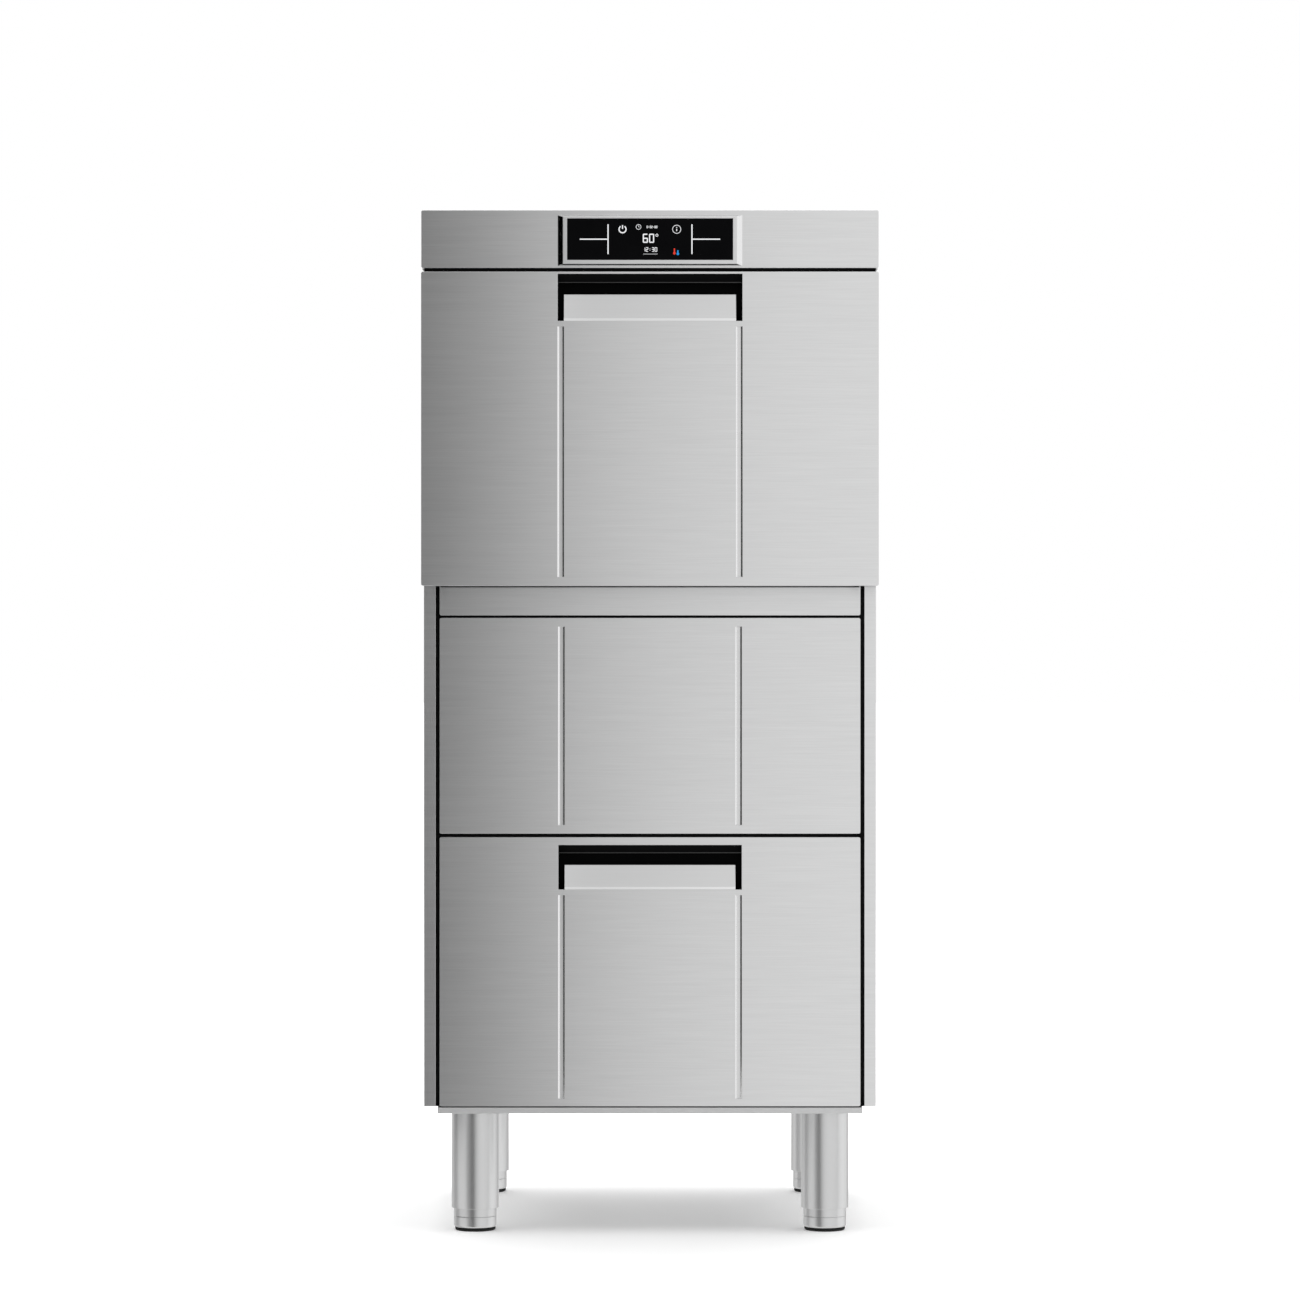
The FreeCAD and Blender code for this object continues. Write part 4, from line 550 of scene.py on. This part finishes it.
def polish_bezel(piece):
    """The slopes of the display frame are polished; its face and the fascia stay brushed."""
    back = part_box("display_glass")[0].y + BEZEL_DEPTH

    def slope(centre, normal):
        in_frame = centre.y < back and abs(centre.x) < BEZEL_HALF
        return in_frame and BEZEL_SHALLOW < normal.y < BEZEL_STEEP

    second_finish(piece, "polished_bevel", slope)


def polish_grooves(node, piece):
    """The rolled flanks of the pressed grooves are shinier than the sheet."""
    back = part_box(node)[0].y + PRESS_DEPTH

    def flank(centre, normal):
        in_groove = centre.y < back and PRESS_NEAR < abs(centre.x) < PRESS_FAR
        return in_groove and FLANK_SHALLOW < abs(normal.x) < FLANK_STEEP

    second_finish(piece, "polished_bevel", flank)


def paint_lip_highlight(piece):
    """The front of a grip plate's lower edge gets a paler copy of the plate's steel: a painted highlight."""
    top = min(vertex.co.z for vertex in piece.data.vertices) + GRIP_LIP
    second_finish(piece, "grip_lip", lambda centre, normal: centre.z < top and normal.y < LIP_FACING)


# Trim: beads in the scoops, black strips in the gaps and black covers at the foot of the side panels; the
# strips and covers are painted shade
BEAD_RADIUS, BEAD_SIDES = 0.8 * MM, 16
BEAD_DROP = 10.5 * MM
BEAD_DEPTH = 9 * MM
SCOOP_WALL = 1.5 * MM
FASCIA_STEP = 5 * MM
SHADE_STRIP_DEPTH = 12 * MM
HOOD_SHADE_INSET, HOOD_SHADE_END, HOOD_SHADE_CLEAR = 0.5 * MM, 4 * MM, 0.7 * MM
PANEL_SHADE_INSET, PANEL_SHADE_END, DRAWER_SHADE_CLEAR = 1.2 * MM, 1.5 * MM, 0.3 * MM
SILL_SHADE_DEPTH, SILL_SHADE_END, SILL_SHADE_SPAN = 3.2 * MM, 1.5 * MM, (-1.5 * MM, -0.1 * MM)
COVER_INSET, COVER_CLEAR, COVER_DEPTH, COVER_SPAN = 1.3 * MM, 1.2 * MM, 39 * MM, (0.1 * MM, 1.1 * MM)


def circle(y, z, radius, sides):
    angles = [2 * math.pi * i / sides for i in range(sides)]
    return [(y + radius * math.cos(angle), z + radius * math.sin(angle)) for angle in angles]


def make_scoop_bead(panel):
    """The rounded ridge of a scoop's brow, which catches a thin line of light."""
    node = panel + "_scoop"
    low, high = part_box(node)
    section = circle(low.y + BEAD_DEPTH, high.z - SCOOP_WALL - BEAD_DROP, BEAD_RADIUS, BEAD_SIDES)
    half = high.x - SCOOP_WALL
    mesh = prism_along_x(panel + "_bead", -half, half, section)
    new_piece(panel + "_scoop_bead", mesh, MATERIALS["scoop_bead"], node)


def strip(name, x_span, y_span, z_span, material, host):
    """A flat-sided strip or plate along X, given by its spans."""
    (near, far), (low, high) = y_span, z_span
    mesh = prism_along_x(name, *x_span, [(near, low), (far, low), (far, high), (near, high)])
    new_piece(name, mesh, MATERIALS[material], host)


def make_gap_shade_strips():
    """Black strips between fascia and door, sill and panel, and panel and drawer: painted shade that darkens
    the gaps; none touches what moves.
    """
    door_low, door_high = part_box("door_skin")
    fascia_low, fascia_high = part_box("control_fascia")
    panel_low, panel_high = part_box("service_panel")
    hood_near = door_low.y + FASCIA_STEP + HOOD_SHADE_INSET
    panel_near = panel_low.y + PANEL_SHADE_INSET
    hood_half, panel_half = fascia_high.x - HOOD_SHADE_END, panel_high.x - PANEL_SHADE_END
    sill_foot, drawer_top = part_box("sill_strip")[0].z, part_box("drawer_front")[1].z
    for name, half, near, z_span, host in (
        ("hood", hood_half, hood_near, (door_high.z + HOOD_SHADE_CLEAR, fascia_low.z), "control_fascia"),
        ("panel", panel_half, panel_near, (panel_high.z, sill_foot), "service_panel"),
        ("drawer", panel_half, panel_near, (drawer_top + DRAWER_SHADE_CLEAR, panel_low.z), "service_panel"),
    ):
        y_span = (near, near + SHADE_STRIP_DEPTH)
        strip(name + "_shade_strip", (-half, half), y_span, z_span, "pressed_recess", host)


def make_sill_shade_strip():
    """A thin black strip on the sill, right under the door: a painted shadow line under the door's bottom
    edge.
    """
    low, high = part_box("sill_strip")
    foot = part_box("door_skin")[0].z
    half = high.x - SILL_SHADE_END
    y_span = (low.y - SILL_SHADE_DEPTH, low.y)
    z_span = [foot + offset for offset in SILL_SHADE_SPAN]
    strip("sill_shade_strip", (-half, half), y_span, z_span, "seal_rubber", "sill_strip")


def make_corner_shade_covers():
    """Black plates close the foot of each side panel, beside the drawer front; their black is painted shade
    that darkens the notch there.
    """
    drawer_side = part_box("drawer_front")[1].x
    for side, way in (("left", -1), ("right", 1)):
        low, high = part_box("side_panel_" + side)
        outer = (high.x if way > 0 else low.x) - way * COVER_INSET
        inner = way * (drawer_side + COVER_CLEAR)
        x_span = sorted((outer, inner))
        y_span = (low.y + COVER_INSET, low.y + COVER_DEPTH)
        z_span = [low.z + offset for offset in COVER_SPAN]
        strip("corner_shade_cover_" + side, x_span, y_span, z_span, "frame_black", "frame")


# Display: strokes of light just in front of the glass, in millimetres from its middle
SIGN_THICK = 0.15 * MM
STROKE = 1.5
DIGIT_PITCH, DIGIT_WIDTH, COLON_REACH = 0.78, 0.5, 0.2
STROKES = {
    "top": ((-0.5, 0.5), (0.5, 0.5)),
    "middle": ((-0.5, 0.0), (0.5, 0.0)),
    "foot": ((-0.5, -0.5), (0.5, -0.5)),
    "upper_left": ((-0.5, 0.0), (-0.5, 0.5)),
    "upper_right": ((0.5, 0.0), (0.5, 0.5)),
    "lower_left": ((-0.5, -0.5), (-0.5, 0.0)),
    "lower_right": ((0.5, -0.5), (0.5, 0.0)),
}
SEVEN = {
    "0": ("top", "foot", "upper_left", "upper_right", "lower_left", "lower_right"),
    "1": ("upper_right", "lower_right"),
    "2": ("top", "middle", "foot", "upper_right", "lower_left"),
    "3": ("top", "middle", "foot", "upper_right", "lower_right"),
    "6": ("top", "middle", "foot", "upper_left", "lower_left", "lower_right"),
}


class Signs:
    """Flat strokes in the plane of the glass."""

    def __init__(self):
        low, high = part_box("display_glass")
        self.middle = (low + high) / 2
        self.front = low.y
        self.bm = bmesh.new()

    def polygon(self, points):
        near, far = (
            [self.bm.verts.new((self.middle.x + x * MM, y, self.middle.z + z * MM)) for x, z in points]
            for y in (self.front - SIGN_THICK, self.front + SIGN_THICK)
        )
        self.bm.faces.new(near)
        self.bm.faces.new(list(reversed(far)))
        for i in range(len(points)):
            j = (i + 1) % len(points)
            self.bm.faces.new((near[i], far[i], far[j], near[j]))

    def bar(self, x0, z0, x1, z1, width=STROKE):
        way = Vector((x1 - x0, z1 - z0)).normalized() * (width / 2)
        side = Vector((-way.y, way.x))
        start, end = Vector((x0, z0)), Vector((x1, z1))
        self.polygon([start + side, start - side, end - side, end + side])

    def ring(self, x, z, radius, start=0, end=360, width=STROKE, steps=28):
        """A stroke along an arc; angles in degrees, 0 to the right and 90 up."""
        inner = arc(x, z, radius - width / 2, start, end, steps)
        outer = arc(x, z, radius + width / 2, start, end, steps)
        for i in range(steps):
            self.polygon([inner[i], outer[i], outer[i + 1], inner[i + 1]])

    def digits(self, text, x, z, height, width=STROKE):
        """Plain seven-stroke numbers, centred on x."""
        pitch, wide = height * DIGIT_PITCH, height * DIGIT_WIDTH
        left = x - pitch * (len(text) - 1) / 2
        for i, letter in enumerate(text):
            cx = left + i * pitch
            if letter == ":":
                for dot in (z - COLON_REACH * height, z + COLON_REACH * height):
                    self.bar(cx, dot - width / 2, cx, dot + width / 2, width)
                continue
            for stroke in SEVEN[letter]:
                (x0, z0), (x1, z1) = STROKES[stroke]
                self.bar(cx + x0 * wide, z + z0 * height, cx + x1 * wide, z + z1 * height, width)

    def piece(self, name, material):
        bmesh.ops.recalc_face_normals(self.bm, faces=self.bm.faces)
        new_piece(name, finish_mesh(self.bm, name), material, "display_glass")


def make_display():
    """Side brackets, switch, clock, time, information, temperature and water signs."""
    white = Signs()
    for side in (-1, 1):
        white.bar(side * 92, 0, side * 56, 0)
        white.bar(side * 55, -19.5, side * 55, 19.5)
    white.ring(-36, 13, 4.6, start=125, end=415)
    white.bar(-36, 13.5, -36, 18.4)
    white.ring(-15, 16, 3.2, width=0.6)
    white.bar(-15, 16, -15, 18.2, 0.5)
    white.bar(-15, 16, -13.4, 16, 0.5)
    white.digits("0:02:00", 2.6, 16, 2.6, 0.55)
    white.ring(35, 13, 5.4, width=0.7)
    white.bar(35, 10.6, 35, 13.6, 1.1)
    white.bar(35, 14.9, 35, 16, 1.1)
    white.digits("60", -2, 1.2, 10.5)
    white.ring(9, 5.2, 1.5, width=0.8, steps=16)
    white.digits("12:30", 0, -13.5, 5, 0.8)
    white.bar(-9, -19.5, 10, -19.5, 0.4)
    white.piece("display_signs", WHITE_SIGN)
    for name, material, x, bulb, foot, top in (
        ("display_hot_sign", RED_SIGN, 32, -18.4, -17.5, -12),
        ("display_cold_sign", BLUE_SIGN, 36.5, -19.2, -18.5, -14.5),
    ):
        sign = Signs()
        sign.bar(x, foot, x, top, 1.8)
        sign.ring(x, bulb, 1, width=1.6, steps=14)
        sign.piece(name, material)


# Stage: floor, reflecting cards and lamps
WHITE = (1.0, 1.0, 1.0, 1.0)
WORLD_LEVEL = 0.55
FLOOR_HALF = 60.0
FLOOR_COLOR = 0.9
FLOOR_GLOW = 0.13
GLOW_NEAR, GLOW_FAR = 0.45, 1.5
CARD_LOW, CARD_HIGH = -1.6, 3.2
# The card in front of the machine: its brightness along X, as (place, level), which the steel mirrors
FRONT_CARD_Y = -1.5
FRONT_TONES = [
    (-1.4, 0.42), (-0.8, 0.42), (-0.6, 0.09), (-0.42, 0.09), (-0.3, 0.24), (-0.16, 0.68), (-0.02, 0.86),
    (0.2, 0.95), (0.55, 1.0),
]
# The card behind the machine, which gives the rear panel and the backs of the legs their shading
BACK_CARD_Y = 1.9
BACK_TONES = [(-2.2, 1.0), (-1.3, 0.62), (-0.5, 0.8), (0.4, 0.98), (1.0, 0.7), (1.5, 0.5), (2.2, 0.9)]
# Cards at the sides, mirrored by bevels, grooves and legs, as x, near and far y, low, high and level
LEG_TOP = 0.08
SIDE_CARDS = {
    "left_card": (-1.15, -1.0, 0.4, LEG_TOP, CARD_HIGH, 0.0),
    "low_left_card": (-1.15, -0.15, 0.6, CARD_LOW, LEG_TOP, 0.55),
    "right_card": (1.7, -0.8, 0.6, CARD_LOW, CARD_HIGH, 1.15),
    "low_right_card": (2.2, -1.2, -0.75, CARD_LOW, 0.2, 0.45),
}


def camera_or_gloss(nodes, links):
    """1 for the rays that show the background: camera, glossy and transmission rays."""
    path = nodes.new("ShaderNodeLightPath")
    first = nodes.new("ShaderNodeMath")
    first.operation = "MAXIMUM"
    links.new(path.outputs["Is Camera Ray"], first.inputs[0])
    links.new(path.outputs["Is Glossy Ray"], first.inputs[1])
    second = nodes.new("ShaderNodeMath")
    second.operation = "MAXIMUM"
    links.new(first.outputs[0], second.inputs[0])
    links.new(path.outputs["Is Transmission Ray"], second.inputs[1])
    return second.outputs[0]


def make_world():
    """White where it is seen or mirrored, and dimmer as light on matt surfaces."""
    world = bpy.data.worlds.new("studio")
    world.use_nodes = True
    nodes, links = world.node_tree.nodes, world.node_tree.links
    strength = nodes.new("ShaderNodeMapRange")
    links.new(camera_or_gloss(nodes, links), strength.inputs["Value"])
    strength.inputs["To Min"].default_value = WORLD_LEVEL
    strength.inputs["To Max"].default_value = 1.0
    background = nodes["Background"]
    background.inputs["Color"].default_value = WHITE
    links.new(strength.outputs["Result"], background.inputs["Strength"])
    bpy.context.scene.world = world


def quad(name, corners, material):
    bm = bmesh.new()
    bm.faces.new([bm.verts.new(corner) for corner in corners])
    mesh = bpy.data.meshes.new(name)
    bm.to_mesh(mesh)
    bm.free()
    mesh.materials.append(material)
    obj = bpy.data.objects.new(name, mesh)
    bpy.context.scene.collection.objects.link(obj)
    return obj


def make_floor():
    """A matt pale floor that melts into the background away from the machine."""
    shader = Shader("floor", (FLOOR_COLOR,) * 3, roughness=1.0, specular=0.0)
    shader.set("Emission Color", WHITE)
    distance = shader.vector("LENGTH", shader.position())
    named = {"From Min": GLOW_NEAR, "From Max": GLOW_FAR, "To Min": FLOOR_GLOW, "To Max": 1.0}
    reach = shader.add("MapRange", distance, named=named, interpolation_type="SMOOTHSTEP")
    seen = camera_or_gloss(shader.nodes, shader.links)
    shader.set("Emission Strength", shader.math("MULTIPLY", seen, reach.outputs["Result"]))
    corners = [(x * FLOOR_HALF, y * FLOOR_HALF, 0.0) for x, y in ((-1, -1), (1, -1), (1, 1), (-1, 1))]
    floor = quad("floor", corners, shader.material)
    floor.visible_glossy = False
    return floor


def make_card(name, corners, tones):
    """A card that glows from tone to tone along X and is seen only in reflections."""
    left, right = tones[0][0], tones[-1][0]
    shader = Shader(name)
    split = shader.add("SeparateXYZ", shader.position())
    offset = shader.math("SUBTRACT", split.outputs["X"], left)
    ramp = shader.add("ValToRGB", shader.math("DIVIDE", offset, right - left))
    elements = ramp.color_ramp.elements
    for i, (x, level) in enumerate(tones):
        element = elements[i] if i < 2 else elements.new(1.0)
        element.position = (x - left) / (right - left)
        element.color = (level, level, level, 1.0)
    emission = shader.add("Emission", ramp.outputs["Color"], 1.0)
    shader.links.new(emission.outputs[0], shader.output.inputs["Surface"])
    card = quad(name, corners, shader.material)
    card.visible_camera = False
    card.visible_diffuse = False
    card.visible_shadow = False
    card.visible_transmission = False
    card.visible_volume_scatter = False


def upright(x0, y0, x1, y1, low, high):
    return [(x0, y0, low), (x1, y1, low), (x1, y1, high), (x0, y0, high)]


def make_cards():
    for name, tones, y in (("front_card", FRONT_TONES, FRONT_CARD_Y), ("back_card", BACK_TONES, BACK_CARD_Y)):
        make_card(name, upright(tones[0][0], y, tones[-1][0], y, CARD_LOW, CARD_HIGH), tones)
    for name, (x, near, far, low, high, level) in SIDE_CARDS.items():
        make_card(name, upright(x, near, x + MM, far, low, high), [(x, level), (x + MM, level)])


def collected(name, objects):
    group = bpy.data.collections.new(name)
    for obj in objects:
        group.objects.link(obj)
    return group


def make_lamp(name, place, aim, size, power, lit=None, blockers=None):
    """A square soft lamp; lit and blockers are the only objects it lights and is shaded by."""
    data = bpy.data.lights.new(name, "AREA")
    data.shape = "RECTANGLE"
    data.size, data.size_y = size
    data.energy = power
    lamp = bpy.data.objects.new(name, data)
    lamp.location = place
    lamp.rotation_euler = (Vector(aim) - Vector(place)).to_track_quat("-Z", "Y").to_euler()
    bpy.context.scene.collection.objects.link(lamp)
    if lit:
        lamp.light_linking.receiver_collection = collected(name + "_lit", lit)
    if blockers:
        lamp.light_linking.blocker_collection = collected(name + "_blockers", blockers)


def make_lamps(floor, under_side, grips):
    """A soft light above, one behind that shades the floor under the machine, one for the grips."""
    make_lamp("overhead", place=(0.0, 0.3, 3.2), aim=(0.0, 0.0, 0.0), size=(1.6, 1.6), power=12.0)
    make_lamp(
        "floor_light", place=(0.0, 2.5, 2.4), aim=(0.0, 2.5, 0.0), size=(6.0, 8.4), power=205.0,
        lit=[floor], blockers=under_side,
    )
    make_lamp(
        "grip_light", place=(-0.77, -0.9, 1.2), aim=(-0.77, 0.0, 1.2), size=(1.2, 2.2), power=6.5, lit=grips
    )


SHEETS = (
    "side_panel_left", "side_panel_right", "service_panel", "sill_strip", "drawer_front", "door_skin",
    "control_fascia", "hood", "base_tray", "door_grip", "drawer_grip",
)
MOULDINGS = ("door_scoop", "drawer_scoop", "display_glass")
GROOVED = ("door_skin", "service_panel", "drawer_front")

make_camera()
dress_nodes()
pieces = {node: softened(node, SHEET_EDGE) for node in SHEETS}
pieces.update({node: softened(node, MOULD_EDGE) for node in MOULDINGS})
polish_bezel(pieces["control_fascia"])
for node in GROOVED:
    polish_grooves(node, pieces[node])
for panel in ("door", "drawer"):
    paint_lip_highlight(pieces[panel + "_grip"])
    make_scoop_bead(panel)
make_gap_shade_strips()
make_sill_shade_strip()
make_corner_shade_covers()
legs = make_legs()
make_display()
make_world()
floor = make_floor()
make_cards()
make_lamps(floor, [pieces["base_tray"]] + legs, [pieces["door_grip"], pieces["drawer_grip"]])
bpy.context.scene.view_settings.view_transform = "Standard"
